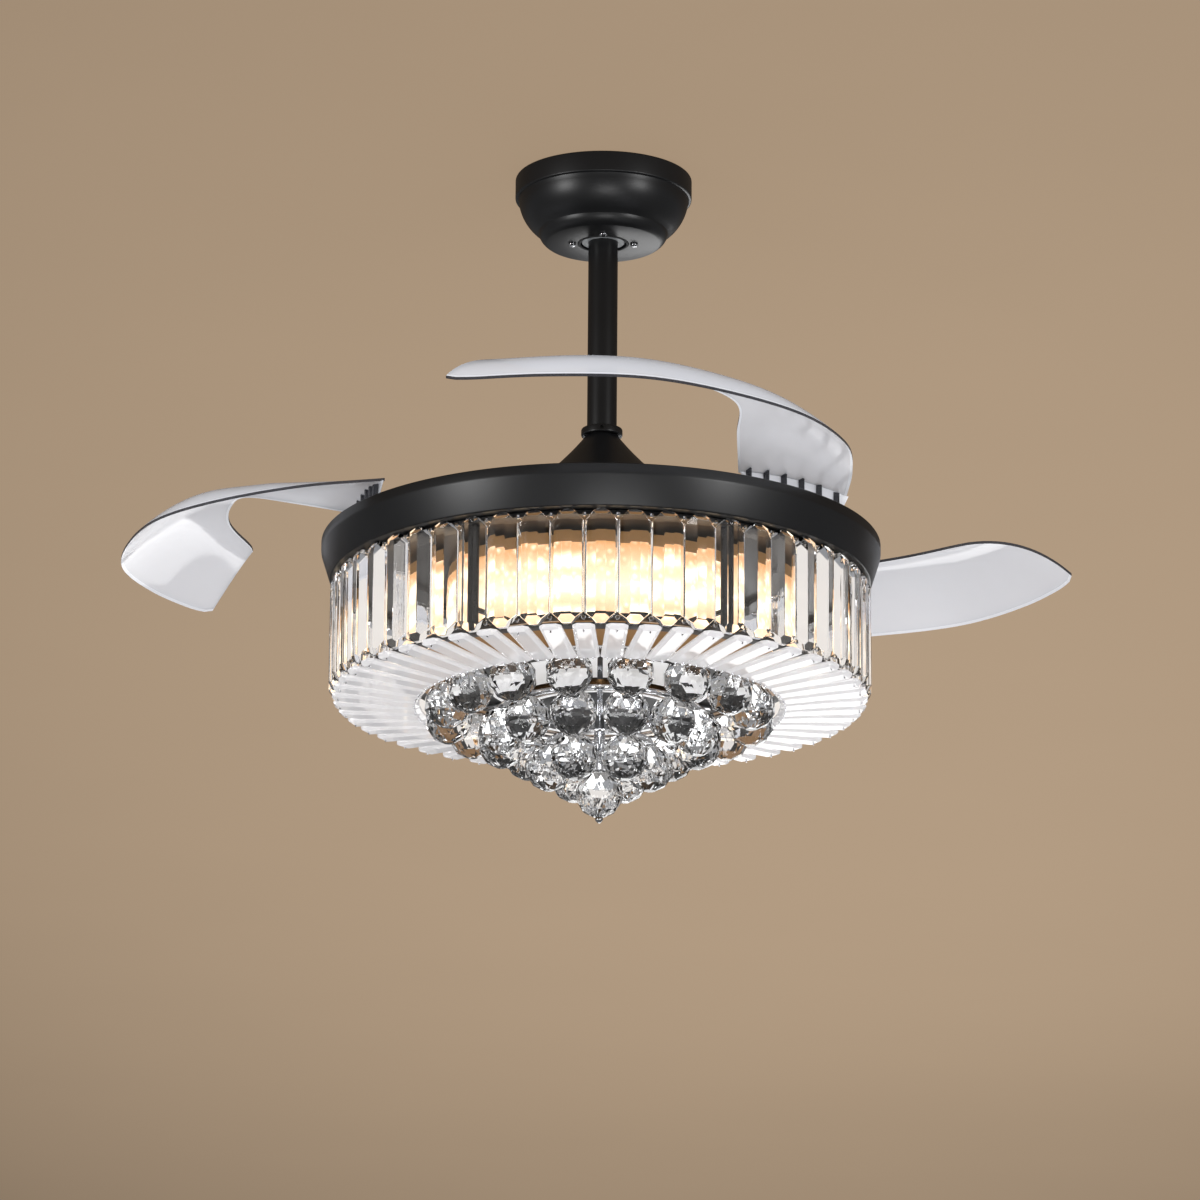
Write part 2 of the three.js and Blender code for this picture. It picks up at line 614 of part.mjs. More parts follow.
/** Black arm that carries the blade, drawn about its pivot. */
function bladeArm() {
  const outline = [
    [-10, 6], [-10, -30], [-6, -62], [4, -78], [14, -78], [ARM_REACH, -52], [ARM_REACH, 4], [20, 12], [4, 14], [-6, 12],
  ];
  const body = prism(outline, fromRim(armBase), fromRim(ARM_TOP));
  const well = disc(PIVOT_PIN_R + SPRING_WIRE * 2 + 1, fromRim(armBase) - 1, fromRim(armBase + SPRING_WIRE * 2), SMALL);
  const relief = block([-12, -80, fromRim(armBase) - 1], [-2, -24, fromRim(armBase + 3)]);
  return cut(body, disc(holeFor(PIVOT_PIN_R, SMALL), fromRim(armBase) - 1, fromRim(ARM_TOP) + 1, SMALL), well, relief);
}

/** Return spring round the pin, in the arm's well. */
function returnSpring() {
  const r = PIVOT_PIN_R + GAP + 0.4;
  const base = fromRim(armBase) + 0.1;
  return ring(r, r + SPRING_WIRE * 1.6, base, base + SPRING_WIRE * 1.8, SMALL);
}

const outerEdge = new THREE.CatmullRomCurve3(BLADE_OUTER.map((p) => new THREE.Vector3(...p)), false, 'centripetal');
const innerEdge = new THREE.CatmullRomCurve3(BLADE_INNER.map((p) => new THREE.Vector3(...p)), false, 'centripetal');

/** Point of the blade's middle surface: u from root to tip, v from the outer to the inner edge. */
function bladePoint(u, v) {
  const round = Math.max(0, (u - 0.94) / 0.06);
  const trim = 0.05 * (1 - Math.sqrt(Math.max(0, 1 - round ** 2)));
  const w = trim + v * (1 - 2 * trim);
  const point = outerEdge.getPoint(u).lerp(innerEdge.getPoint(u), w);
  const arch = 4 * w * (1 - w);
  const out = Math.max(0, (u - 0.7) / 0.3);
  point.x -= BLADE_TIP_BOW * arch * out ** 2 * 0.7;
  point.y -= BLADE_TIP_BOW * arch * out ** 2 * 0.45;
  point.z += BLADE_CAMBER * arch * Math.min(1, 0.35 + u * 3);
  return point;
}

/** Closed skin between the blade's middle surface, raised by `above`, and a lower surface. */
function bladeSkin(uEnd, above, lower, sections) {
  const columns = BLADE_CHORD_STEPS + 1;
  const points = [];
  for (const face of [0, 1]) {
    for (let i = 0; i <= sections; i += 1) {
      for (let j = 0; j < columns; j += 1) {
        const p = bladePoint((uEnd * i) / sections, j / BLADE_CHORD_STEPS);
        points.push(p.x, p.y, fromRim(face ? lower(p.z) : p.z + above));
      }
    }
  }
  const at = (face, i, j) => face * (sections + 1) * columns + i * columns + j;
  const triangles = [];
  const quad = (a, b, c, d) => triangles.push(a, b, c, a, c, d);
  for (let i = 0; i < sections; i += 1) {
    for (let j = 0; j < BLADE_CHORD_STEPS; j += 1) {
      quad(at(0, i, j), at(0, i, j + 1), at(0, i + 1, j + 1), at(0, i + 1, j));
      quad(at(1, i, j), at(1, i + 1, j), at(1, i + 1, j + 1), at(1, i, j + 1));
    }
    quad(at(0, i, 0), at(0, i + 1, 0), at(1, i + 1, 0), at(1, i, 0));
    quad(at(0, i, columns - 1), at(1, i, columns - 1), at(1, i + 1, columns - 1), at(0, i + 1, columns - 1));
  }
  for (let j = 0; j < BLADE_CHORD_STEPS; j += 1) {
    quad(at(0, 0, j), at(1, 0, j), at(1, 0, j + 1), at(0, 0, j + 1));
    quad(at(0, sections, j), at(0, sections, j + 1), at(1, sections, j + 1), at(1, sections, j));
  }
  const geometry = new THREE.BufferGeometry();
  geometry.setAttribute('position', new THREE.BufferAttribute(new Float32Array(points), 3));
  geometry.setIndex(triangles);
  return geometry;
}

/** Clear moulded blade: a curved skin with ribs and a foot under its root. */
function bladeShape() {
  const skin = bladeSkin(1, BLADE_T / 2, (z) => z - BLADE_T / 2, BLADE_SECTIONS);
  const footBase = ARM_TOP + GAP;
  const under = bladeSkin(0.16, 0, () => footBase, 2);
  const middle = (BLADE_RIBS - 1) / 2;
  const ribs = Array.from({ length: BLADE_RIBS }, (_, i) => {
    const y = (i - middle) * BLADE_RIB_PITCH + BLADE_ROOT_Y;
    return block(
      [BLADE_FOOT.x0 - 14, y - BLADE_RIB_T / 2, fromRim(footBase)],
      [ARM_REACH, y + BLADE_RIB_T / 2, fromRim(60)],
    );
  });
  const foot = block(
    [BLADE_FOOT.x0, BLADE_FOOT.y0, fromRim(footBase)],
    [ARM_REACH, BLADE_FOOT.y1, fromRim(footBase + BLADE_FOOT.t)],
  );
  return join(skin, common(join(foot, ...ribs), under));
}

/** Steel strip with the screw heads that hold the blade's foot, one solid. */
function bladeClamp() {
  const z = fromRim(armBase) - GAP;
  const strip = block([16, -60, z - 1.2], [24, -16, z]);
  const heads = [-52, -38, -24].map((y) => disc(3.2, z - 2, z - 0.5, SMALL).translate(20, y, 0));
  return join(strip, ...heads);
}

function blades(rotor) {
  piece('blade_disc', bladeDisc(), BLACK(), rotor);
  for (let i = 0; i < BLADE_COUNT; i += 1) {
    const station = new THREE.Group();
    station.rotation.z = radians(BLADE_AZIMUTH - (i * 360) / BLADE_COUNT);
    rotor.add(station);
    const hinge = new THREE.Group();
    hinge.position.set(pivotX, PIVOT_Y, 0);
    station.add(hinge);
    const number = i + 1;
    piece(`hinge_base_${number}`, hingeBase(), BLACK(), hinge);
    piece(`pivot_pin_${number}`, pivotPin(), STEEL(), hinge);
    piece(`return_spring_${number}`, returnSpring(), STEEL(), hinge);
    const swing = new THREE.Group();
    swing.rotation.z = radians(REST_OPENING[i]);
    hinge.add(swing);
    piece(`blade_arm_${number}`, bladeArm(), BLACK(), swing);
    piece(`blade_clamp_${number}`, bladeClamp(), CHROME(), swing);
    piece(`blade_${number}`, bladeShape(), CLEAR(), swing);
  }
}

// ---------------------------------------------------------------- light kit

/** Black pan: a floor under the motor and a tapered wall with a rolled lip. */
function housingPan() {
  const floor = -RIM_H;
  const profile = [
    [PAN_HOLE_R, floor],
    [RIM_FOOT_R - 2, floor],
    [RIM_FOOT_R, floor + 2],
    [RIM_R, -RIM_BAND],
    [RIM_R, -1],
    [RIM_R - 1, 0],
    [RIM_R - PAN_WALL, 0],
    [RIM_R - PAN_WALL, -RIM_BAND],
    [RIM_FOOT_R - PAN_WALL, floor + PAN_WALL],
    [PAN_HOLE_R, floor + PAN_WALL],
  ];
  return turned(profile.map(([r, z]) => [r, fromRim(z)]), LARGE);
}

/** Black steel frame for the crystals: two rings, struts, and the ring under the diffuser. */
function crystalFrame() {
  const top = BAR_TOP + 0.5;
  const low = BAR_BASE + 1;
  const upper = ring(FRAME_IN_R, FRAME_OUT_R, fromRim(top - FRAME_T), fromRim(top), MEDIUM);
  const lower = ring(FRAME_IN_R, FRAME_OUT_R, fromRim(low), fromRim(low + FRAME_T), MEDIUM);
  const strutR = (FRAME_IN_R + FRAME_OUT_R) / 2;
  const struts = around(FRAME_STRUTS, 0, () =>
    block([strutR - FRAME_STRUT_R, -FRAME_STRUT_R, fromRim(low + 1)], [strutR + FRAME_STRUT_R, FRAME_STRUT_R, fromRim(top - 1)]));
  const holderZ = DIFFUSER_BASE - GAP;
  const holder = ring(
    DIFFUSER_R - DIFFUSER_T - 6, DIFFUSER_R + 3, fromRim(holderZ - FRAME_T), fromRim(holderZ), MEDIUM,
  );
  const spokes = around(FRAME_STRUTS, 0, () =>
    block([DIFFUSER_R, -3, fromRim(holderZ - FRAME_T + 0.5)], [strutR, 3, fromRim(holderZ - 0.5)]));
  return join(upper, lower, holder, ...struts, ...spokes);
}

/** Outline of the ring of bars: a front facet and two bevels for each bar. */
function barOutline() {
  const pitch = 360 / BAR_COUNT;
  const jointR = BAR_R - BAR_BEVEL;
  const facetHalf = THREE.MathUtils.radToDeg(Math.atan2(BAR_FACET / 2, BAR_R));
  const points = [];
  for (let i = 0; i < BAR_COUNT; i += 1) {
    const mid = -90 + i * pitch;
    points.push(polar(jointR, mid - pitch / 2), polar(BAR_R, mid - facetHalf), polar(BAR_R, mid + facetHalf));
  }
  return points;
}

/** Ring of upright crystal bars, with the corners of each bar cut off at both ends. */
function crystalBars() {
  const pitch = 360 / BAR_COUNT;
  const backR = BAR_R - BAR_BEVEL - BAR_EDGE;
  const back = Array.from({ length: BAR_COUNT }, (_, i) => polar(backR, -90 + (i - 0.5) * pitch));
  const body = toSolid(prism(barOutline(), fromRim(BAR_BASE), fromRim(BAR_TOP), [back]));
  const notch = new THREE.CylinderGeometry(BAR_CORNER, BAR_CORNER, 24, 4).rotateZ(Math.PI / 2)
    .translate(BAR_R - BAR_BEVEL, 0, 0);
  const notches = [BAR_TOP, BAR_BASE].flatMap((z) =>
    around(BAR_COUNT, -90 - pitch / 2, () => notch.clone().translate(0, 0, fromRim(z))));
  return toGeometry(body.subtract(wasm.Manifold.union(notches.map(toSolid))));
}

/** Star of flat crystals under the drum, one at each joint of the upright bars, joined at their roots. */
function radialCrystals() {
  const pitch = 360 / BAR_COUNT;
  const rootR = RADIAL_IN_R + RADIAL_ROOT;
  const side = (r, across) => THREE.MathUtils.radToDeg(Math.asin(across / r));
  const outline = [];
  for (let i = 0; i < BAR_COUNT; i += 1) {
    const mid = -90 + (i - 0.5) * pitch;
    const half = Math.min(side(rootR, RADIAL_W / 2), pitch * 0.46);
    const shoulder = RADIAL_OUT_R;
    outline.push(
      polar(rootR, mid - half),
      polar(shoulder, mid - side(shoulder, RADIAL_W / 2)),
      polar(shoulder, mid + side(shoulder, RADIAL_W / 2)),
      polar(rootR, mid + half),
    );
  }
  const top = fromRim(BAR_BASE - GAP - 0.2);
  const star = prism(outline, top - RADIAL_T, top, [circle(RADIAL_IN_R, BAR_COUNT)]);
  const position = star.getAttribute('position');
  for (let i = 0; i < position.count; i += 1) {
    const r = Math.hypot(position.getX(i), position.getY(i));
    const share = (RADIAL_OUT_R - r) / (RADIAL_OUT_R - RADIAL_IN_R);
    position.setZ(i, position.getZ(i) - RADIAL_FALL * share);
  }
  return star;
}

/** Ring of capsule bulbs on their shared socket ring. */
function bulbRing() {
  const top = LAMP_PLATE_Z - LAMP_PLATE_T - GAP;
  const sockets = ring(BULB_RING_R - 5, BULB_RING_R + 5, fromRim(top - 2), fromRim(top), ROUND);
  const bulb = turned([
    [0, fromRim(top - BULB_LENGTH)],
    [BULB_R, fromRim(top - BULB_LENGTH + BULB_R)],
    [BULB_R, fromRim(top - BULB_CAP)],
    [BULB_R + 1.5, fromRim(top - BULB_CAP)],
    [BULB_R + 1.5, fromRim(top - 1)],
    [0, fromRim(top - 1)],
  ], 6).translate(BULB_RING_R, 0, 0);
  return join(sockets, ...around(BULB_COUNT, 0, () => bulb.clone()));
}

const ringTop = (tier) => tier.z + BALL_EYE + BALL_WIRE_R + GAP + TIER_RING_T;

/** Three stepped rings on a stem, from which the crystal balls hang. */
function tierFrame() {
  const parts = TIERS.flatMap((tier) => {
    const [low, high] = [fromRim(ringTop(tier) - TIER_RING_T), fromRim(ringTop(tier))];
    const rim = ring(tier.radius - TIER_RING_W / 2, tier.radius + TIER_RING_W / 2, low, high, ROUND);
    const spokes = around(3, 30, () => block([0, -2.5, low + 0.3], [tier.radius, 2.5, high - 0.3]));
    return [rim, ...spokes];
  });
  const stemBase = CENTRE_BALL_Z + CRYSTAL_BALL_R + GAP;
  const stem = disc(5, fromRim(stemBase), fromRim(ringTop(TIERS[0]) + 1), SMALL);
  return join(...parts, stem);
}

/** One tier of faceted balls, threaded at their tops on one wire. */
function ballTier({ radius, z, count, turn }) {
  const wire = new THREE.TorusGeometry(radius, BALL_WIRE_R, 3, count).rotateZ(radians(turn - 90))
    .translate(0, 0, fromRim(z + BALL_EYE));
  const balls = around(count, turn - 90, () => crystalBall().translate(radius, 0, fromRim(z)));
  return toGeometry(wasm.Manifold.union([...balls, wire].map(toSolid)));
}

/** Faceted crystal ball about its own centre. */
function crystalBall() {
  return new THREE.DodecahedronGeometry(CRYSTAL_BALL_R, 0);
}

function lightKit() {
  piece('housing_pan', housingPan(), BLACK());
  const nutTop = fromRim(-RIM_H) - GAP;
  const nut = prism(circle(PAN_HOLE_R + 4, 6), nutTop - 6, nutTop, [circle(SHAFT_R + GAP, ROUND)]);
  piece('shaft_nut', nut, STEEL());
  const panTop = fromRim(-RIM_H + PAN_WALL) + GAP;
  const spacerTop = fromRim(MOTOR_BASE) - 2 * GAP;
  const spacer = turned([
    [SHAFT_R + GAP, panTop],
    [PAN_HOLE_R + 4, panTop],
    [PAN_HOLE_R + 4, panTop + 2],
    [SHAFT_R + 4, panTop + 2],
    [SHAFT_R + 4, spacerTop],
    [SHAFT_R + GAP, spacerTop],
  ]);
  piece('pan_spacer', spacer, STEEL());
  const lamp = fromRim(LAMP_PLATE_Z);
  piece('lamp_plate', ring(SHAFT_R + GAP, LAMP_PLATE_R, lamp - LAMP_PLATE_T, lamp, MEDIUM), WHITE());
  piece('bulb_ring', bulbRing(), GLOW());
  const diffuser = ring(
    DIFFUSER_R - DIFFUSER_T, DIFFUSER_R, fromRim(DIFFUSER_BASE), fromRim(DIFFUSER_TOP), LARGE,
  );
  piece('diffuser', diffuser, GLOW());
  piece('crystal_frame', crystalFrame(), BLACK());
  piece('crystal_bars', crystalBars(), CRYSTAL());
  piece('radial_crystals', radialCrystals(), CRYSTAL());

  const columnTop = lamp - LAMP_PLATE_T - GAP;
  const columnBase = fromRim(ringTop(TIERS[0]) + 1) + GAP;
  const column = turned([
    [SHAFT_R + GAP, columnTop],
    [COLUMN_R, columnTop],
    [COLUMN_R, columnBase],
    [COLUMN_R - COLUMN_WALL, columnBase],
    [COLUMN_R - COLUMN_WALL, columnTop - 10],
    [SHAFT_R + GAP, columnTop - 10],
  ]);
  piece('centre_column', column, BLACK());
  piece('tier_frame', tierFrame(), CHROME());
  TIERS.forEach((tier) => piece(tier.name, ballTier(tier), CRYSTAL()));
  const centre = crystalBall().translate(0, 0, fromRim(CENTRE_BALL_Z));
  piece('centre_ball', centre, CRYSTAL());
  const tip = fromRim(CENTRE_BALL_Z - CRYSTAL_BALL_R) - GAP;
  const finial = turned([
    [0, tip - FINIAL_H], [FINIAL_R * 0.4, tip - FINIAL_H], [FINIAL_R, tip - FINIAL_H * 0.5], [FINIAL_R, tip], [0, tip],
  ], SMALL);
  piece('finial', finial, CHROME());
}

const rotor = new THREE.Group();
fan.add(rotor);
ceilingMount();
suspension();
motor(rotor);
blades(rotor);
lightKit();

export default fan;
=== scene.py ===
"""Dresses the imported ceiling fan: spun black shells, cut crystals, clear blades and a lit drum.

Lengths are millimetres until a mesh is made, and heights are counted from the top edge of the black rim.
"""

import json
import logging
import math
import random
from dataclasses import dataclass, field
from enum import Enum
from typing import Iterable, Sequence

import bmesh
import bpy
from mathutils import Matrix, Vector

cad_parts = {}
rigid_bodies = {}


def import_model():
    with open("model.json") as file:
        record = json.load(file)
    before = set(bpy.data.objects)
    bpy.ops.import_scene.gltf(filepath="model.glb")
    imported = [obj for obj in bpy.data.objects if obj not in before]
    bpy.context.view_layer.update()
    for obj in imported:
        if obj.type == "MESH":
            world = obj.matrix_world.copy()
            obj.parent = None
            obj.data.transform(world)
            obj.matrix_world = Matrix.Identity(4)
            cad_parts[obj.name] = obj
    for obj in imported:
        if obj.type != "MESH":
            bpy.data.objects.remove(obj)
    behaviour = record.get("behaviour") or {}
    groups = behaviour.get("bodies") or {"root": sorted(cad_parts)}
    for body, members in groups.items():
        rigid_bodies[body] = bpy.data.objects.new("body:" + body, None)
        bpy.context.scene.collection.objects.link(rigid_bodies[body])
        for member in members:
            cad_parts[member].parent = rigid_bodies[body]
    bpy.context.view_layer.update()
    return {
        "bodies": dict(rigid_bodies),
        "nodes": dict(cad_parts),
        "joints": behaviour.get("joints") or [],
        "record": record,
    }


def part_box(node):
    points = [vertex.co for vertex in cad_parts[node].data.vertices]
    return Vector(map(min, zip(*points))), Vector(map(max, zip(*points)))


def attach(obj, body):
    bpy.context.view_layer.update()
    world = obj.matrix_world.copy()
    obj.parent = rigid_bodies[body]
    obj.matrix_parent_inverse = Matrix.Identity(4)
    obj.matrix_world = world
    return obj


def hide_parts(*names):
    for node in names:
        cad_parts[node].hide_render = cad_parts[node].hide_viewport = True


log = logging.getLogger("fan")

MM = 0.001
Profile = list[tuple[float, float]]
Colour = tuple[float, float, float]


class Body(Enum):
    """The frame's moving bodies."""

    CEILING = "ceiling_base"
    TILT = "tilt_ring"
    HEAD = "fan_head"
    ROTOR = "rotor"
    BLADE_1 = "blade_unit_1"
    BLADE_2 = "blade_unit_2"
    BLADE_3 = "blade_unit_3"


class Slot(Enum):
    """The record's material slots."""

    BLACK = "black_metal"
    BLACK_PLASTIC = "black_plastic"
    STEEL = "steel"
    CHROME = "chrome"
    NYLON = "nylon"
    RUBBER = "rubber"
    COPPER = "copper_wire"
    MAGNET = "magnet"
    WHITE = "white_metal"
    CLEAR = "clear_plastic"
    CRYSTAL = "crystal"
    WARM = "warm_glass"


# ---------------------------------------------------------------- shader maths


class Signal:
    """A shader socket that takes part in Python expressions."""

    def __init__(self, bench: "PaintBench", socket: bpy.types.NodeSocket) -> None:
        """Wraps a socket of the bench's material."""
        self.bench = bench
        self.socket = socket

    def maths(self, operation: str, first: "Signal | float", second: "Signal | float" = 0.0) -> "Signal":
        """Adds one Math node.

        Args:
            operation: the node's operation.
            first: its first value.
            second: its second value.

        Returns:
            The node's result.
        """
        return self.bench.add("ShaderNodeMath", {"operation": operation}, {0: first, 1: second})

    def __add__(self, other: "Signal | float") -> "Signal":
        """Sum."""
        return self.maths("ADD", self, other)

    __radd__ = __add__

    def __sub__(self, other: "Signal | float") -> "Signal":
        """Difference."""
        return self.maths("SUBTRACT", self, other)

    def __rsub__(self, other: float) -> "Signal":
        """Difference from a number."""
        return self.maths("SUBTRACT", other, self)

    def __mul__(self, other: "Signal | float") -> "Signal":
        """Product."""
        return self.maths("MULTIPLY", self, other)

    __rmul__ = __mul__

    def __pow__(self, other: float) -> "Signal":
        """Power."""
        return self.maths("POWER", self, other)

    def clipped(self) -> "Signal":
        """The value held between 0 and 1."""
        return self.bench.add("ShaderNodeClamp", {}, {"Value": self})

    def wave(self) -> "Signal":
        """Sine of the value."""
        return self.maths("SINE", self)


class PaintBench:
    """Builds one node material around a Principled shader."""

    def __init__(self, name: str) -> None:
        """Makes an empty material."""
        self.material = bpy.data.materials.new(name)
        self.material.use_nodes = True
        self.tree = self.material.node_tree
        self.tree.nodes.clear()
        self.output = self.tree.nodes.new("ShaderNodeOutputMaterial")

    def add(self, kind: str, settings: dict, inputs: dict, output: int | str = 0) -> Signal:
        """Adds any node.

        Args:
            kind: the node's type.
            settings: attributes set first; "stops" fills a ramp with (place, value) pairs.
            inputs: values or signals by socket name or number.
            output: the socket that comes back.

        Returns:
            The chosen output.
        """
        node = self.tree.nodes.new(kind)
        for key, value in settings.items():
            if key == "stops":
                self.fill_ramp(node.color_ramp, value)
            else:
                setattr(node, key, value)
        for key, value in inputs.items():
            if isinstance(value, Signal):
                self.tree.links.new(value.socket, node.inputs[key])
            else:
                node.inputs[key].default_value = value
        return Signal(self, node.outputs[output])

    @staticmethod
    def fill_ramp(ramp: bpy.types.ColorRamp, stops: Sequence[tuple[float, float]]) -> None:
        """Sets a grey ramp's stops."""
        while len(ramp.elements) < len(stops):
            ramp.elements.new(1.0)
        for element, (place, value) in zip(ramp.elements, stops):
            element.position = place
            element.color = (value, value, value, 1.0)

    def place(self) -> Signal:
        """Object coordinates, in metres."""
        return self.add("ShaderNodeTexCoord", {}, {}, "Object")

    def axis(self, letter: str) -> Signal:
        """One object coordinate, in metres."""
        return self.add("ShaderNodeSeparateXYZ", {}, {0: self.place()}, letter)

    def stretched(self, scale: tuple[float, float, float]) -> Signal:
        """Object coordinates multiplied axis by axis."""
        return self.add("ShaderNodeMapping", {}, {"Vector": self.place(), "Scale": scale})

    def noise(self, scale: float, detail: float = 3.0, vector: Signal | None = None) -> Signal:
        """Soft noise between 0 and 1, with `scale` features in a metre."""
        source = vector or self.place()
        return self.add("ShaderNodeTexNoise", {}, {"Vector": source, "Scale": scale, "Detail": detail}, "Fac")

    def mix(self, factor: Signal | float, dark: Colour | Signal, light: Colour | Signal) -> Signal:
        """A colour between two."""
        first, second = (c if isinstance(c, Signal) else (*c, 1.0) for c in (dark, light))
        return self.add("ShaderNodeMix", {"data_type": "RGBA"}, {0: factor, 6: first, 7: second}, 2)

    def bump(self, height: Signal, distance: float, strength: float = 1.0) -> Signal:
        """Normal from a height, whose full swing is `distance` metres."""
        inputs = {"Height": height, "Distance": distance, "Strength": strength}
        return self.add("ShaderNodeBump", {}, inputs, "Normal")

    def principled(self, **inputs: "Signal | float | tuple") -> Signal:
        """Principled shader, with socket names written with underscores."""
        return self.add("ShaderNodeBsdfPrincipled", {}, {k.replace("_", " "): v for k, v in inputs.items()})

    def finish(self, surface: Signal) -> bpy.types.Material:
        """Joins a shader to the output and gives the material back."""
        self.tree.links.new(surface.socket, self.output.inputs["Surface"])
        return self.material


# ---------------------------------------------------------------- finishes


@dataclass(frozen=True)
class PowderCoat:
    """Satin enamel or powder coat on metal, with a fine orange peel, faint rubbed patches and, where one is
    given, a painted glow.
    """

    name: str
    colour: Colour
    rubbed: Colour
    roughness: float = 0.33
    grain: float = 1400.0
    grain_height: float = 0.00003
    # Painted glow, for a part that is no lamp.
    glow: Colour = (0.0, 0.0, 0.0)
    glow_strength: float = 0.0

    def material(self) -> bpy.types.Material:
        """The finish as a material."""
        bench = PaintBench(self.name)
        patches = bench.noise(9.0, 4.0)
        return bench.finish(bench.principled(
            Base_Color=bench.mix(patches, self.colour, self.rubbed),
            Roughness=self.roughness + 0.12 * patches,
            Emission_Color=(*self.glow, 1.0),
            Emission_Strength=self.glow_strength,
            Normal=bench.bump(bench.noise(self.grain, 2.0), self.grain_height),
        ))


@dataclass(frozen=True)
class BareMetal:
    """Bare or plated metal, with marks that run round or along the piece."""

    name: str
    colour: Colour
    shade: Colour
    roughness: float
    marks: tuple[float, float, float] = (60.0, 60.0, 2400.0)
    spread: float = 0.12

    def material(self) -> bpy.types.Material:
        """The finish as a material."""
        bench = PaintBench(self.name)
        lines = bench.noise(1.0, 3.0, bench.stretched(self.marks))
        smudges = bench.noise(35.0, 4.0)
        return bench.finish(bench.principled(
            Base_Color=bench.mix(smudges, self.colour, self.shade),
            Metallic=1.0,
            Roughness=self.roughness + self.spread * lines * smudges,
            Normal=bench.bump(lines, 0.00001),
        ))


@dataclass(frozen=True)
class Moulded:
    """Moulded plastic or rubber, with a fine texture and slight mottling."""

    name: str
    colour: Colour
    mottle: Colour
    roughness: float
    grain: float = 2500.0

    def material(self) -> bpy.types.Material:
        """The finish as a material."""
        bench = PaintBench(self.name)
        patches = bench.noise(45.0, 3.0)
        return bench.finish(bench.principled(
            Base_Color=bench.mix(patches, self.colour, self.mottle),
            Roughness=self.roughness + 0.1 * patches,
            Normal=bench.bump(bench.noise(self.grain, 2.0), 0.00004),
        ))


@dataclass(frozen=True)
class WoundWire:
    """Enamelled copper wire in close turns, with painted shade in the grooves between them."""

    name: str = "wound_copper"
    pitch: float = 0.0007

    def material(self) -> bpy.types.Material:
        """The finish as a material."""
        bench = PaintBench(self.name)
        turns = (bench.axis("Z") * (2 * math.pi / self.pitch)).wave() * 0.5 + 0.5
        return bench.finish(bench.principled(
            # Painted shade: the colour darkens in each groove between turns.
            Base_Color=bench.mix(turns, (0.20, 0.05, 0.02), (0.62, 0.22, 0.09)),
            Metallic=1.0,
            Roughness=0.3 + 0.15 * bench.noise(80.0),
            Normal=bench.bump(turns, 0.0002),
        ))


@dataclass(frozen=True)
class CutCrystal:
    """Cut and polished crystal: clear glass with a trace of milk, faint striae, a few finger marks and, where
    one is given, a painted glow.
    """

    name: str
    tint: Colour
    clearness: float
    # Painted glow, for crystal that is no lamp.
    glow: Colour = (0.0, 0.0, 0.0)
    glow_strength: float = 0.0
    bending: float = 1.54

    def material(self) -> bpy.types.Material:
        """The finish as a material."""
        bench = PaintBench(self.name)
        marks = bench.noise(70.0, 3.0)
        striae = bench.noise(1.0, 2.0, bench.stretched((160.0, 160.0, 25.0)))
        return bench.finish(bench.principled(
            Base_Color=bench.mix(marks, self.tint, (1.0, 1.0, 1.0)),
            Roughness=0.01 * marks,
            IOR=self.bending,
            Transmission_Weight=self.clearness,
            Emission_Color=(*self.glow, 1.0),
            Emission_Strength=self.glow_strength,
            Normal=bench.bump(striae, 0.00004),
        ))


@dataclass(frozen=True)
class ClearAcrylic:
    """Clear moulded acrylic of a blade: a pale see-through skin, cloudier in patches."""

    name: str
    tint: Colour
    opacity: float
    spread: float = 0.1

    def material(self) -> bpy.types.Material:
        """The finish as a material."""
        bench = PaintBench(self.name)
        clouds = bench.noise(6.0, 3.0)
        bench.material.surface_render_method = "DITHERED"
        return bench.finish(bench.principled(
            Base_Color=bench.mix(clouds, self.tint, tuple(min(1.0, c * 1.08) for c in self.tint)),
            Roughness=0.06 + 0.06 * bench.noise(30.0),
            IOR=1.49,
            Alpha=(self.opacity - self.spread * 0.5) + self.spread * clouds,
            Normal=bench.bump(bench.noise(12.0, 1.0), 0.0004),
        ))


@dataclass(frozen=True)
class LitGlass:
    """Bubble glass with the lamps' light painted in it: rows of hot spots, amber between them, and fine
    specks, all painted glow.
    """

    name: str
    dim: Colour
    bright: Colour
    strength: float
    spots: int
    row_pitch: float = 0.024
    row_place: float = -0.4360
    wander: float = 5.0
    halo_fall: float = 26.0
    halo_share: float = 0.45
    bubble_scale: float = 120.0

    def material(self) -> bpy.types.Material:
        """The finish as a material."""
        bench = PaintBench(self.name)
        x, y, z = (bench.axis(letter) for letter in "XYZ")
        turn = x.maths("ARCTAN2", y, x) * self.spots
        row = (z - self.row_place) * (2 * math.pi / self.row_pitch)
        wander = bench.noise(24.0, 2.0) * self.wander
        # Painted glow: rows of hot spots round the ring, standing in for the lamps seen through the glass.
        spots = ((turn + wander).wave() * 0.5 + 0.5) * ((row + wander).wave() * 0.5 + 0.5)
        bubbles = bench.add(
            "ShaderNodeTexVoronoi", {"feature": "SMOOTH_F1"},
            {"Vector": bench.place(), "Scale": self.bubble_scale, "Smoothness": 0.3}, "Distance",
        )
        # Bubbles glow as painted glints.
        specks = (1 - bubbles * 2.0).clipped() ** 2.0
        away = z - self.row_place
        # Painted glow along the row of hot spots.
        halo = (away.maths("ABSOLUTE", away) * -self.halo_fall + 1.0).clipped() * self.halo_share
        light = (spots ** 1.5 * 0.85 + specks * 0.3 + halo).clipped()
        return bench.finish(bench.principled(
            Base_Color=bench.mix(specks, self.dim, self.bright),
            Roughness=0.12 + 0.2 * bubbles,
            Emission_Color=bench.mix(light, self.dim, self.bright),
            Emission_Strength=self.strength,
            Normal=bench.bump(bubbles, 0.002),
        ))


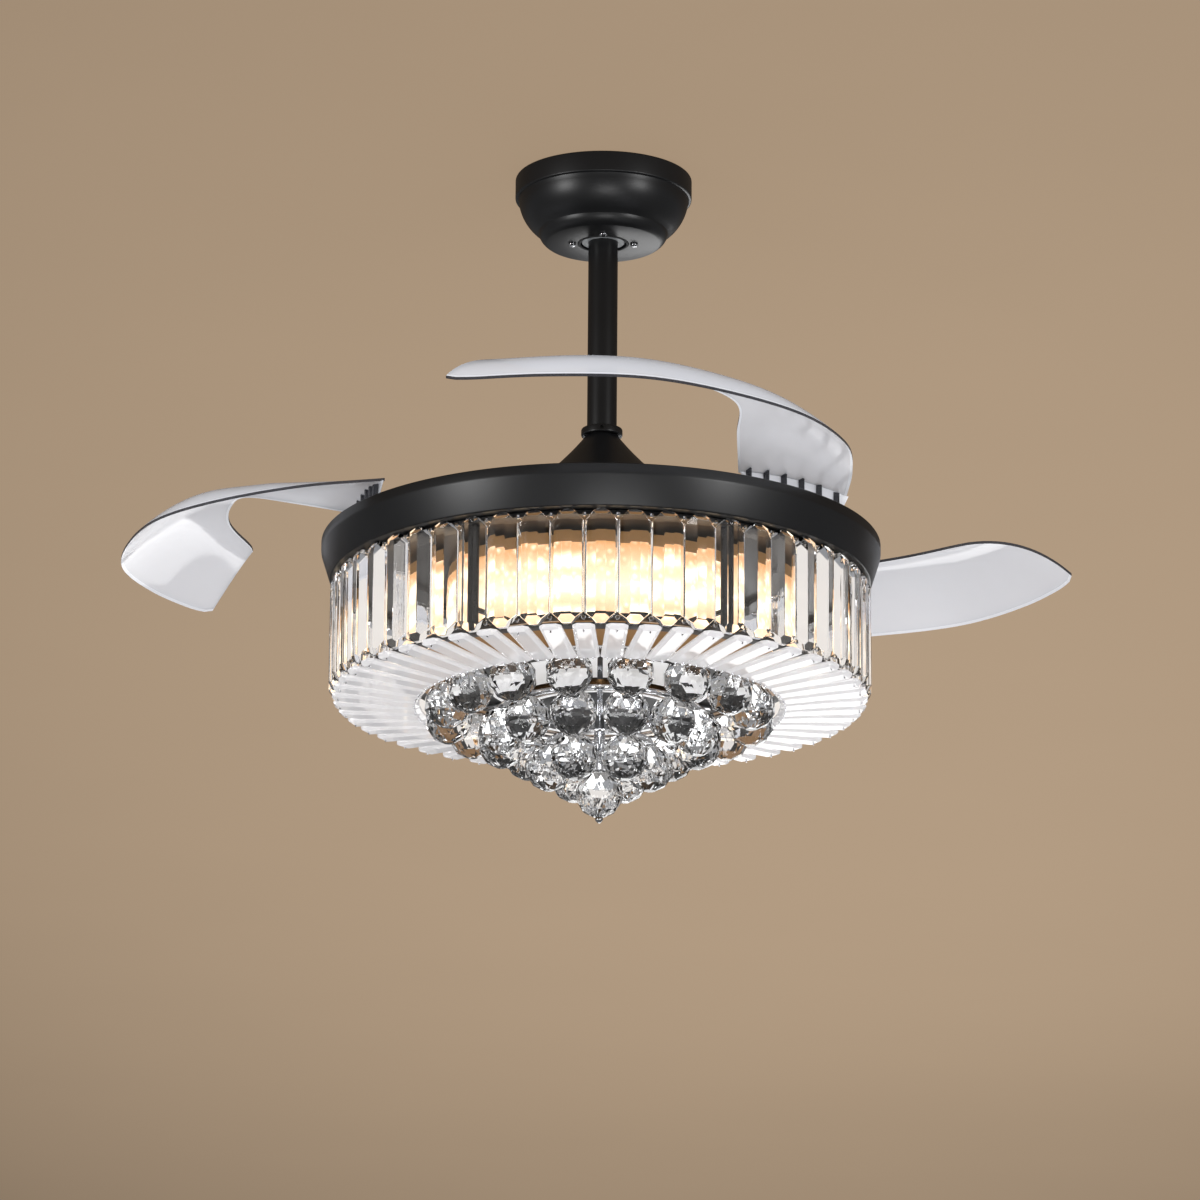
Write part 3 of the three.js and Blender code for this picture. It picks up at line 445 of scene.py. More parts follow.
class Palette:
    """All finishes of the fan, each made once."""

    def __init__(self) -> None:
        """Makes the materials by slot, and the few that share a slot."""
        black = PowderCoat("satin_black", (0.0045, 0.0045, 0.0048), (0.008, 0.008, 0.0085), 0.3)
        steel = BareMetal("zinc_steel", (0.50, 0.51, 0.53), (0.36, 0.36, 0.38), 0.28)
        chrome = BareMetal("bright_chrome", (0.80, 0.81, 0.83), (0.66, 0.67, 0.70), 0.06, spread=0.05)
        self.by_slot: dict[Slot, bpy.types.Material] = {
            Slot.BLACK: black.material(),
            Slot.BLACK_PLASTIC: Moulded(
                "black_box", (0.012, 0.012, 0.013), (0.02, 0.02, 0.021), 0.45,
            ).material(),
            Slot.STEEL: steel.material(),
            Slot.CHROME: chrome.material(),
            Slot.NYLON: Moulded("grey_nylon", (0.26, 0.27, 0.27), (0.32, 0.33, 0.33), 0.4).material(),
            Slot.RUBBER: Moulded(
                "black_rubber", (0.006, 0.006, 0.006), (0.014, 0.014, 0.014), 0.65,
            ).material(),
            Slot.COPPER: WoundWire().material(),
            Slot.MAGNET: BareMetal(
                "ground_ferrite", (0.07, 0.07, 0.075), (0.04, 0.04, 0.045), 0.4,
            ).material(),
            Slot.WHITE: PowderCoat("white_enamel", (0.62, 0.62, 0.63), (0.72, 0.71, 0.70), 0.25).material(),
            Slot.CLEAR: ClearAcrylic("clear_acrylic", (0.90, 0.90, 0.92), 0.70).material(),
            Slot.CRYSTAL: CutCrystal("cut_crystal", (0.98, 0.99, 1.0), 1.0).material(),
            Slot.WARM: LitGlass(
                "lit_bubble_glass", (0.36, 0.18, 0.07), (1.0, 0.92, 0.72), 2.2, 26,
            ).material(),
        }
        # The flat crystals carry a faint painted glow.
        self.milky = CutCrystal("milky_crystal", (0.93, 0.91, 0.93), 0.66, (1.0, 0.97, 0.95), 0.10).material()
        # Painted dark edge and painted highlight for the blades' cut edges, ribs, strips and foot.
        self.acrylic_painted_dark_edge = ClearAcrylic("acrylic_painted_dark_edge", (0.03, 0.03, 0.035), 0.93, 0.05).material()
        self.acrylic_painted_highlight = ClearAcrylic("acrylic_painted_highlight", (0.96, 0.96, 1.0), 0.93, 0.05).material()
        self.bulb = LitGlass("lamp_capsule", (1.0, 0.78, 0.45), (1.0, 0.97, 0.88), 5.0, 8).material()
        # Brown painted as the reflection in a polished ring's wall.
        self.brown_reflection = BareMetal("painted_brown_reflection", (0.16, 0.09, 0.04), (0.10, 0.06, 0.03), 0.22).material()
        # Pale plate painted as a polished plate's bright reflection, with a painted glow.
        self.pale = PowderCoat(
            "painted_reflection_plate", (0.80, 0.80, 0.82), (0.88, 0.88, 0.90), 0.2,
            glow=(1.0, 0.98, 0.96), glow_strength=0.5,
        ).material()
        # Painted warm glow for the band over the glass and the skirt over the balls.
        self.amber = PowderCoat(
            "amber_glow_band", (0.16, 0.08, 0.03), (0.22, 0.11, 0.04), 0.3,
            glow=(0.50, 0.28, 0.11), glow_strength=0.3,
        ).material()
        self.bar_crystal = CutCrystal("bar_crystal", (0.98, 0.98, 0.99), 1.0, bending=1.34).material()
        self.ceramic = Moulded("lamp_ceramic", (0.75, 0.73, 0.68), (0.82, 0.80, 0.76), 0.5).material()

    def __getitem__(self, slot: Slot) -> bpy.types.Material:
        """The material of a slot."""
        return self.by_slot[slot]


# ---------------------------------------------------------------- shapes


@dataclass
class Shape:
    """Points and faces in millimetres."""

    points: list[Vector] = field(default_factory=list)
    faces: list[tuple[int, ...]] = field(default_factory=list)

    def __add__(self, other: "Shape") -> "Shape":
        """Both shapes as one."""
        return joined((self, other))

    def moved(self, matrix: Matrix) -> "Shape":
        """The shape under a transform."""
        return Shape([matrix @ p for p in self.points], list(self.faces))

    def at(self, x: float, y: float, z: float) -> "Shape":
        """The shape shifted."""
        return self.moved(Matrix.Translation((x, y, z)))

    def turned_by(self, degrees: float, axis: str = "Z") -> "Shape":
        """The shape turned about an axis through the origin."""
        return self.moved(Matrix.Rotation(math.radians(degrees), 4, axis))

    def around(self, count: int, start: float = 0.0) -> "Shape":
        """Copies in a circle about the vertical axis."""
        return joined(self.turned_by(start + i * 360 / count) for i in range(count))

    def clipped(self, planes: Iterable[tuple[Vector, Vector]]) -> "Shape":
        """What is left of a closed shape behind each (point, normal) plane."""
        mesh = self.to_bmesh()
        for point, normal in planes:
            geometry = mesh.verts[:] + mesh.edges[:] + mesh.faces[:]
            bmesh.ops.bisect_plane(
                mesh, geom=geometry, plane_co=point, plane_no=normal, clear_outer=True, dist=1e-5,
            )
            bmesh.ops.holes_fill(mesh, edges=[e for e in mesh.edges if e.is_boundary], sides=0)
        return Shape.from_bmesh(mesh)

    def bevelled(self, width: float, segments: int = 1, sharp: float = 20.0) -> "Shape":
        """The shape with its sharp edges bevelled."""
        mesh = self.to_bmesh()
        bmesh.ops.recalc_face_normals(mesh, faces=mesh.faces)
        edges = [e for e in mesh.edges if e.is_manifold and e.calc_face_angle(0.0) > math.radians(sharp)]
        bmesh.ops.bevel(
            mesh, geom=edges, offset=width, offset_type="OFFSET", segments=segments, profile=0.5,
            affect="EDGES", clamp_overlap=True,
        )
        return Shape.from_bmesh(mesh)

    def to_bmesh(self) -> bmesh.types.BMesh:
        """A new bmesh of the shape."""
        mesh = bmesh.new()
        vertices = [mesh.verts.new(p) for p in self.points]
        for face in self.faces:
            mesh.faces.new([vertices[i] for i in face])
        return mesh

    @staticmethod
    def from_bmesh(mesh: bmesh.types.BMesh) -> "Shape":
        """A shape from a bmesh, which is freed."""
        bmesh.ops.recalc_face_normals(mesh, faces=mesh.faces)
        mesh.verts.index_update()
        points = [v.co.copy() for v in mesh.verts]
        faces = [tuple(v.index for v in f.verts) for f in mesh.faces]
        mesh.free()
        return Shape(points, faces)


def joined(shapes: Iterable[Shape]) -> Shape:
    """Many shapes as one."""
    whole = Shape()
    for shape in shapes:
        start = len(whole.points)
        whole.points.extend(shape.points)
        whole.faces.extend(tuple(i + start for i in f) for f in shape.faces)
    return whole


def spun(profile: Profile, sides: int = 96) -> Shape:
    """Closed ring or solid from a closed (radius, height) profile turned about the vertical axis."""
    points: list[Vector] = []
    rows: list[list[int]] = []
    for radius, height in profile:
        if radius < 1e-6:
            rows.append([len(points)] * sides)
            points.append(Vector((0, 0, height)))
        else:
            rows.append(list(range(len(points), len(points) + sides)))
            for i in range(sides):
                a = 2 * math.pi * i / sides
                points.append(Vector((radius * math.sin(a), -radius * math.cos(a), height)))
    faces = []
    count = len(rows)
    for k in range(count):
        low, high = rows[k], rows[(k + 1) % count]
        if low[0] == low[1] and high[0] == high[1]:
            continue
        for i in range(sides):
            j = (i + 1) % sides
            corners = (low[i], low[j], high[j], high[i])
            faces.append(tuple(dict.fromkeys(corners)))
    return Shape(points, faces)


def softened(profile: Profile, radius: float, steps: int = 3) -> Profile:
    """A closed profile with its corners rounded, apart from those on the axis."""
    soft: Profile = []
    count = len(profile)
    for i, (r, z) in enumerate(profile):
        here = Vector((r, z))
        before, after = Vector(profile[i - 1]), Vector(profile[(i + 1) % count])
        back, on = before - here, after - here
        if r < 1e-6 or back.length < 1e-6 or on.length < 1e-6 or back.angle(on) > math.radians(172):
            soft.append((r, z))
            continue
        reach = min(radius, back.length * 0.45, on.length * 0.45)
        start, end = here + back.normalized() * reach, here + on.normalized() * reach
        for k in range(steps + 1):
            t = k / steps
            p = start * (1 - t) ** 2 + here * (2 * t * (1 - t)) + end * t ** 2
            soft.append((p.x, p.y))
    return soft


def band(inner: float, outer: float, low: float, high: float, soft: float = 0.5, sides: int = 96) -> Shape:
    """Ring of rectangular section with soft corners."""
    return spun(softened([(inner, low), (outer, low), (outer, high), (inner, high)], soft), sides)


def rod(radius: float, low: float, high: float, soft: float = 0.3, sides: int = 32) -> Shape:
    """Upright round bar with soft ends."""
    return spun(softened([(0, low), (radius, low), (radius, high), (0, high)], soft), sides)


def prism(outline: Sequence[tuple[float, float]], low: float, high: float) -> Shape:
    """Upright prism on an outline."""
    n = len(outline)
    points = [Vector((x, y, z)) for z in (low, high) for x, y in outline]
    walls = [(i, (i + 1) % n, n + (i + 1) % n, n + i) for i in range(n)]
    return Shape(points, walls + [tuple(reversed(range(n))), tuple(range(n, 2 * n))])


def tube(path: Sequence[Vector], radius: float, sides: int = 12) -> Shape:
    """Round tube along a path, with flat ends."""
    points: list[Vector] = []
    count = len(path)
    for i, p in enumerate(path):
        before, after = path[max(i - 1, 0)], path[min(i + 1, count - 1)]
        along = (after - before).normalized()
        side = along.cross(Vector((0, 0, 1)))
        side = Vector((1, 0, 0)) if side.length < 1e-4 else side.normalized()
        up = side.cross(along)
        for k in range(sides):
            a = 2 * math.pi * k / sides
            points.append(p + side * (radius * math.cos(a)) + up * (radius * math.sin(a)))
    faces = []
    for i in range(count - 1):
        for k in range(sides):
            m = (k + 1) % sides
            faces.append((i * sides + k, i * sides + m, (i + 1) * sides + m, (i + 1) * sides + k))
    ends = [tuple(range(sides)), tuple(range((count - 1) * sides, count * sides))]
    return Shape(points, faces + ends)


def hull(points: Iterable[Vector]) -> Shape:
    """Convex solid round some points, its flat faces whole."""
    mesh = bmesh.new()
    for p in points:
        mesh.verts.new(p)
    made = bmesh.ops.convex_hull(mesh, input=mesh.verts)
    loose = [v for v in made["geom_interior"] if isinstance(v, bmesh.types.BMVert)]
    bmesh.ops.delete(mesh, geom=loose, context="VERTS")
    bmesh.ops.dissolve_limit(mesh, angle_limit=math.radians(1.0), verts=mesh.verts, edges=mesh.edges)
    return Shape.from_bmesh(mesh)


# ---------------------------------------------------------------- workshop


class Workshop:
    """Turns shapes into pieces of the fan and keeps the frame's places."""

    def __init__(self, frame: dict) -> None:
        """Reads the driving places from the frame."""
        self.nodes: dict[str, bpy.types.Object] = frame["nodes"]
        self.palette = Palette()
        self.rim_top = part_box("housing_pan")[1].z / MM

    def span(self, node: str) -> tuple[Vector, Vector]:
        """A node's box in millimetres, with heights from the rim's top edge."""
        drop = Vector((0, 0, self.rim_top))
        low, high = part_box(node)
        return low / MM - drop, high / MM - drop

    def radius(self, node: str) -> float:
        """Outer radius of a round node that is centred on the fan's axis."""
        low, high = self.span(node)
        return max(-low.x, high.x, -low.y, high.y)

    def carve(self, shape: Shape, *tools: Shape) -> Shape:
        """A shape with tools cut out of it."""
        body = self.raw("carved", shape)
        for tool in tools:
            cutter = self.raw("tool", tool)
            modifier = body.modifiers.new("cut", "BOOLEAN")
            modifier.operation, modifier.solver, modifier.object = "DIFFERENCE", "EXACT", cutter
        graph = bpy.context.evaluated_depsgraph_get()
        mesh = bmesh.new()
        mesh.from_mesh(body.evaluated_get(graph).to_mesh())
        for piece in [m.object for m in body.modifiers] + [body]:
            bpy.data.objects.remove(piece)
        return Shape.from_bmesh(mesh)

    def raw(self, name: str, shape: Shape) -> bpy.types.Object:
        """A plain object of a shape, its points kept in millimetres."""
        data = bpy.data.meshes.new(name)
        data.from_pydata([tuple(p) for p in shape.points], [], shape.faces)
        item = bpy.data.objects.new(name, data)
        bpy.context.scene.collection.objects.link(item)
        return item

    def piece(
        self, name: str, shape: Shape, body: Body, slot: Slot, replaces: Sequence[str] = (),
        material: bpy.types.Material | None = None, smooth: float = 35.0,
    ) -> bpy.types.Object:
        """Makes a piece, in place on its body.

        Args:
            name: the piece's name.
            shape: millimetres, heights from the rim's top edge.
            body: what it moves with.
            slot: the record's slot.
            replaces: frame nodes that it stands for.
            material: a finish other than the slot's own.
            smooth: edges sharper than this many degrees stay sharp; 0 keeps every face flat.

        Returns:
            The finished object.
        """
        mesh = shape.to_bmesh()
        bmesh.ops.remove_doubles(mesh, verts=mesh.verts, dist=1e-4)
        bmesh.ops.recalc_face_normals(mesh, faces=mesh.faces)
        bmesh.ops.transform(mesh, matrix=Matrix.Scale(MM, 4) @ Matrix.Translation((0, 0, self.rim_top)),
                            verts=mesh.verts)
        data = bpy.data.meshes.new(name)
        mesh.to_mesh(data)
        mesh.free()
        if smooth > 0:
            data.shade_smooth()
            data.set_sharp_from_angle(angle=math.radians(smooth))
        data.materials.append(material or self.palette[slot])
        item = bpy.data.objects.new(name, data)
        bpy.context.scene.collection.objects.link(item)
        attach(item, body.value)
        if replaces:
            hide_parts(*replaces)
        log.info("%s: %d faces", name, len(data.polygons))
        return item

    def dress(self, slot: Slot, *names: str) -> None:
        """Gives frame nodes that stay their finish."""
        for name in names:
            data = self.nodes[name].data
            data.materials.clear()
            data.materials.append(self.palette[slot])
            log.info("%s: dressed as %s", name, slot.value)


# ---------------------------------------------------------------- ceiling side


@dataclass
class CeilingMount:
    """Canopy, its rubber ring and screws, and what is hidden in it."""

    shop: Workshop
    band_height: float = 19.0
    neck: float = 77.0
    step: tuple[float, float] = (60.0, 50.0)
    floor: float = 52.0
    bulge: float = 3.0
    wall: float = 1.5
    hole: float = 23.4

    def build(self) -> None:
        """Makes the pieces."""
        low, high = self.shop.span("canopy")
        self.canopy(self.shop.radius("canopy"), high.z, high.z - low.z)
        self.seal()
        for number in range(1, 5):
            self.screw(number)
        self.shop.dress(Slot.STEEL, "hanger_bracket")
        self.shop.dress(Slot.BLACK_PLASTIC, "receiver_box")
        self.shop.dress(Slot.NYLON, "ball_liner")

    def canopy(self, radius: float, top: float, height: float) -> None:
        """Spun bowl with its band, groove and second step."""
        def curve(start: tuple[float, float], end: tuple[float, float], bulge: float, steps: int) -> Profile:
            """Swelling line between two points given as (radius, depth)."""
            line = []
            for i in range(steps + 1):
                t = i / steps
                swell = 4 * t * (1 - t) * bulge
                line.append((
                    start[0] + (end[0] - start[0]) * t + swell,
                    top - (start[1] + (end[1] - start[1]) * t) - swell * 0.6,
                ))
            return line

        neck_depth = self.band_height + 2
        outer = softened([
            (radius - 0.8, top), (radius, top - 1.2), (radius, top - self.band_height),
            (self.neck + 0.6, top - self.band_height - 1.0),
        ], 0.9)
        bowl = curve((self.neck, neck_depth), self.step, self.bulge, 14)
        lower = curve((self.step[0] - 1.4, self.step[1] + 1.4), (self.floor, height - 0.6), self.bulge / 3, 6)
        base = top - height
        floor = [(self.floor - 1.2, base), (self.hole, base), (self.hole, base + self.wall)]
        inner = [
            (self.floor - self.wall, base + self.wall),
            (self.step[0] - 2 * self.wall, top - self.step[1]),
            (self.neck - self.wall, top - neck_depth),
            (radius - self.wall, top - self.band_height),
            (radius - self.wall, top),
        ]
        shell = spun(outer + bowl + lower + floor + inner, 144)
        self.shop.piece("canopy_bowl", shell, Body.CEILING, Slot.BLACK, ["canopy"], smooth=28)

    def seal(self) -> None:
        """Rubber ring with rounded edges."""
        low, high = self.shop.span("canopy_seal")
        outer = self.shop.radius("canopy_seal")
        inner = outer - 2.5
        shape = spun(softened([(inner, low.z), (outer, low.z), (outer, high.z), (inner, high.z)], 0.8, 4), 72)
        self.shop.piece("canopy_rubber_ring", shape, Body.CEILING, Slot.RUBBER, ["canopy_seal"])

    def screw(self, number: int) -> None:
        """Pan-head screw with a crossed recess."""
        node = f"canopy_screw_{number}"
        low, high = self.shop.span(node)
        radius = (high.x - low.x) / 2
        centre = (low + high) / 2
        head = softened([
            (0, low.z), (radius * 0.62, low.z), (radius, low.z + 1.3), (radius, low.z + 2.4),
            (radius * 0.5, low.z + 2.4), (radius * 0.5, high.z), (0, high.z),
        ], 0.5, 4)
        slot = radius * 0.52
        cross = [
            prism([(-slot, -0.45), (slot, -0.45), (slot, 0.45), (-slot, 0.45)], low.z - 1, low.z + 1.0),
            prism([(-0.45, -slot), (0.45, -slot), (0.45, slot), (-0.45, slot)], low.z - 1, low.z + 1.0),
        ]
        shape = self.shop.carve(spun(head, 40), *cross).turned_by(20 + 31 * number)
        shape = shape.at(centre.x, centre.y, 0)
        self.shop.piece(f"cross_screw_{number}", shape, Body.CEILING, Slot.CHROME, [node], smooth=30)


@dataclass
class Suspension:
    """Ball, rod, collar and cone cover."""

    shop: Workshop
    rod_wall: float = 1.85
    cone_wall: float = 1.2
    cone_foot: float = 4.0
    cone_steps: int = 28
    rod_clear: float = 0.3

    def build(self) -> None:
        """Makes the pieces."""
        low, high = self.shop.span("downrod")
        radius = self.shop.radius("downrod")
        bore = radius - self.rod_wall
        profile = softened([(bore, low.z), (radius, low.z), (radius, high.z), (bore, high.z)], 0.4)
        self.shop.piece("rod_pipe", spun(profile, 72), Body.HEAD, Slot.BLACK, ["downrod"])
        self.ball()
        self.collar(radius)
        self.cone(radius)
        self.shop.dress(Slot.STEEL, "ball_pin", "clevis_pin", "coupling_yoke")
        self.shop.dress(Slot.RUBBER, "supply_cable")

    def ball(self) -> None:
        """Moulded ball, cut flat below and counterbored above."""
        low, high = self.shop.span("hanger_ball")
        radius = self.shop.radius("hanger_ball")
        centre = self.shop.span("ball_liner")[1].z + 1.9
        bore = self.shop.radius("downrod") + self.rod_clear
        steps = 18
        start = math.asin(max(-1.0, (low.z - centre) / radius))
        end = math.asin(min(1.0, (high.z - centre) / radius))
        arc = [
            (radius * math.cos(start + (end - start) * i / steps),
             centre + radius * math.sin(start + (end - start) * i / steps))
            for i in range(steps + 1)
        ]
        shelf = high.z - 7.5
        profile = [(bore, low.z), *arc, (arc[-1][0] - 1.0, high.z), (arc[-1][0] - 2.0, shelf), (bore, shelf)]
        self.shop.piece("ball_moulding", spun(profile, 72), Body.HEAD, Slot.NYLON, ["hanger_ball"])

    def collar(self, rod_radius: float) -> None:
        """Turned collar with a hole for a set screw in its side."""
        low, high = self.shop.span("rod_collar")
        radius = self.shop.radius("rod_collar")
        bore = rod_radius + self.rod_clear
        ring = spun(softened([(bore, low.z), (radius, low.z), (radius, high.z), (bore, high.z)], 1.6, 5), 96)
        hole = rod(1.6, 0, 6, 0.1, 20).turned_by(90, "X").at(0, -radius + 2.5, (low.z + high.z) / 2)
        self.shop.piece(
            "collar_ring", self.shop.carve(ring, hole), Body.HEAD, Slot.BLACK, ["rod_collar"], smooth=30,
        )

    def cone(self, rod_radius: float) -> None:
        """Trumpet cover with a straight foot."""
        low, high = self.shop.span("cone_cover")
        foot = self.shop.radius("cone_cover")
        neck = rod_radius + self.rod_clear + self.cone_wall
        outer: Profile = []
        fall = high.z - low.z - self.cone_foot
        for i in range(self.cone_steps + 1):
            u = i / self.cone_steps
            outer.append((neck + (foot - neck) * (0.75 * u + 0.25 * u ** 2), high.z - fall * u))
        outer.append((foot, low.z))
        inner = [(r - self.cone_wall, z) for r, z in reversed(outer)]
        self.shop.piece(
            "cone_trumpet", spun(outer + inner, 120), Body.HEAD, Slot.BLACK, ["cone_cover"], smooth=30,
        )


# ---------------------------------------------------------------- motor and blades


@dataclass
class Motor:
    """Turning shells and disc of the motor, and what they hide."""

    shop: Workshop
    wall: float = 3.0
    shaft: float = 9.0
    bolt_circle: float = 66.0
    bolts: int = 6
    window: float = 26.0
    pin_hole: float = 4.6

    def build(self) -> None:
        """Makes the pieces."""
        self.shells()
        self.disc()
        self.shop.dress(
            Slot.STEEL, "motor_shaft", "stator_core", "bearing_upper", "bearing_lower", "pan_spacer",
            "shaft_nut",
        )
        self.shop.dress(Slot.COPPER, "stator_winding")
        self.shop.dress(Slot.MAGNET, "magnet_ring")

    def shells(self) -> None:
        """Cast shells with soft shoulders, cooling slots and flange bolts."""
        low, high = self.shop.span("rotor_upper_shell")
        radius = self.shop.radius("rotor_upper_shell")
        top = softened([
            (self.shaft + 2, high.z - self.wall), (radius - self.wall, high.z - self.wall),
            (radius - self.wall, low.z), (radius, low.z), (radius, high.z), (self.shaft + 2, high.z),
        ], 2.4, 5)
        slot = prism([(26, -2.2), (48, -3.2), (48, 3.2), (26, 2.2)], high.z - self.wall - 2, high.z + 2)
        slots = [slot.turned_by(i * 40) for i in range(9)]
        self.shop.piece(
            "motor_cap", self.shop.carve(spun(top, 96), *slots), Body.ROTOR, Slot.BLACK,
            ["rotor_upper_shell"], smooth=30,
        )
        low, high = self.shop.span("rotor_lower_shell")
        flange = self.shop.radius("rotor_lower_shell")
        seat = self.shop.span("blade_disc")[1].z + 0.3
        lower = softened([
            (self.shaft + 2, low.z + self.wall), (radius - self.wall, low.z + self.wall),
            (radius - self.wall, high.z), (radius, high.z), (radius, seat + self.wall),
            (flange, seat + self.wall), (flange, seat), (radius, seat), (radius, low.z),
            (self.shaft + 2, low.z),
        ], 1.2, 3)
        bolt = rod(2.8, seat + self.wall, seat + self.wall + 2.2, 0.6, 6).at(self.bolt_circle, 0, 0)
        shape = spun(lower, 96) + bolt.around(self.bolts, 15)
        self.shop.piece("motor_base", shape, Body.ROTOR, Slot.BLACK, ["rotor_lower_shell"], smooth=30)

    def disc(self) -> None:
        """Pressed plate with six windows and holes for the pivot pins."""
        low, high = self.shop.span("blade_disc")
        outer = self.shop.radius("blade_disc")
        inner = self.shop.radius("rotor_upper_shell") + 0.5
        plate = band(inner, outer, low.z, high.z, 0.6, 144)
        middle = (inner + outer) / 2
        window = rod(self.window, low.z - 1, high.z + 1, 0, 48).at(middle, 0, 0)
        windows = [window.turned_by(30 + i * 60) for i in range(6)]
        pins = []
        for number in (1, 2, 3):
            a, b = self.shop.span(f"pivot_pin_{number}")
            hole = rod(self.pin_hole, low.z - 1, high.z + 1, 0, 24)
            pins.append(hole.at((a.x + b.x) / 2, (a.y + b.y) / 2, 0))
        self.shop.piece(
            "blade_plate", self.shop.carve(plate, *windows, *pins), Body.ROTOR, Slot.BLACK, ["blade_disc"],
            smooth=30,
        )


def spline_point(knots: Sequence[tuple[float, float, float]], t: float) -> Vector:
    """Point of a centripetal Catmull-Rom curve.

    Args:
        knots: the points that it passes through.
        t: 0 at the first knot and 1 at the last.

    Returns:
        The point.
    """
    points = [Vector(k) for k in knots]
    last = len(points) - 1
    place = last * t
    index = min(int(place), last - 1)
    weight = place - index
    p1, p2 = points[index], points[index + 1]
    p0 = points[index - 1] if index > 0 else p1 * 2 - p2
    p3 = points[index + 2] if index + 2 <= last else p2 * 2 - p1
    d0, d1, d2 = (max((b - a).length_squared ** 0.25, 1e-6) for a, b in ((p0, p1), (p1, p2), (p2, p3)))
    tangent_1 = ((p1 - p0) / d0 - (p2 - p0) / (d0 + d1) + (p2 - p1) / d1) * d1
    tangent_2 = ((p2 - p1) / d1 - (p3 - p1) / (d1 + d2) + (p3 - p2) / d2) * d1
    c2 = (p2 - p1) * 3 - tangent_1 * 2 - tangent_2
    c3 = (p1 - p2) * 2 + tangent_1 + tangent_2
    return p1 + tangent_1 * weight + c2 * weight ** 2 + c3 * weight ** 3


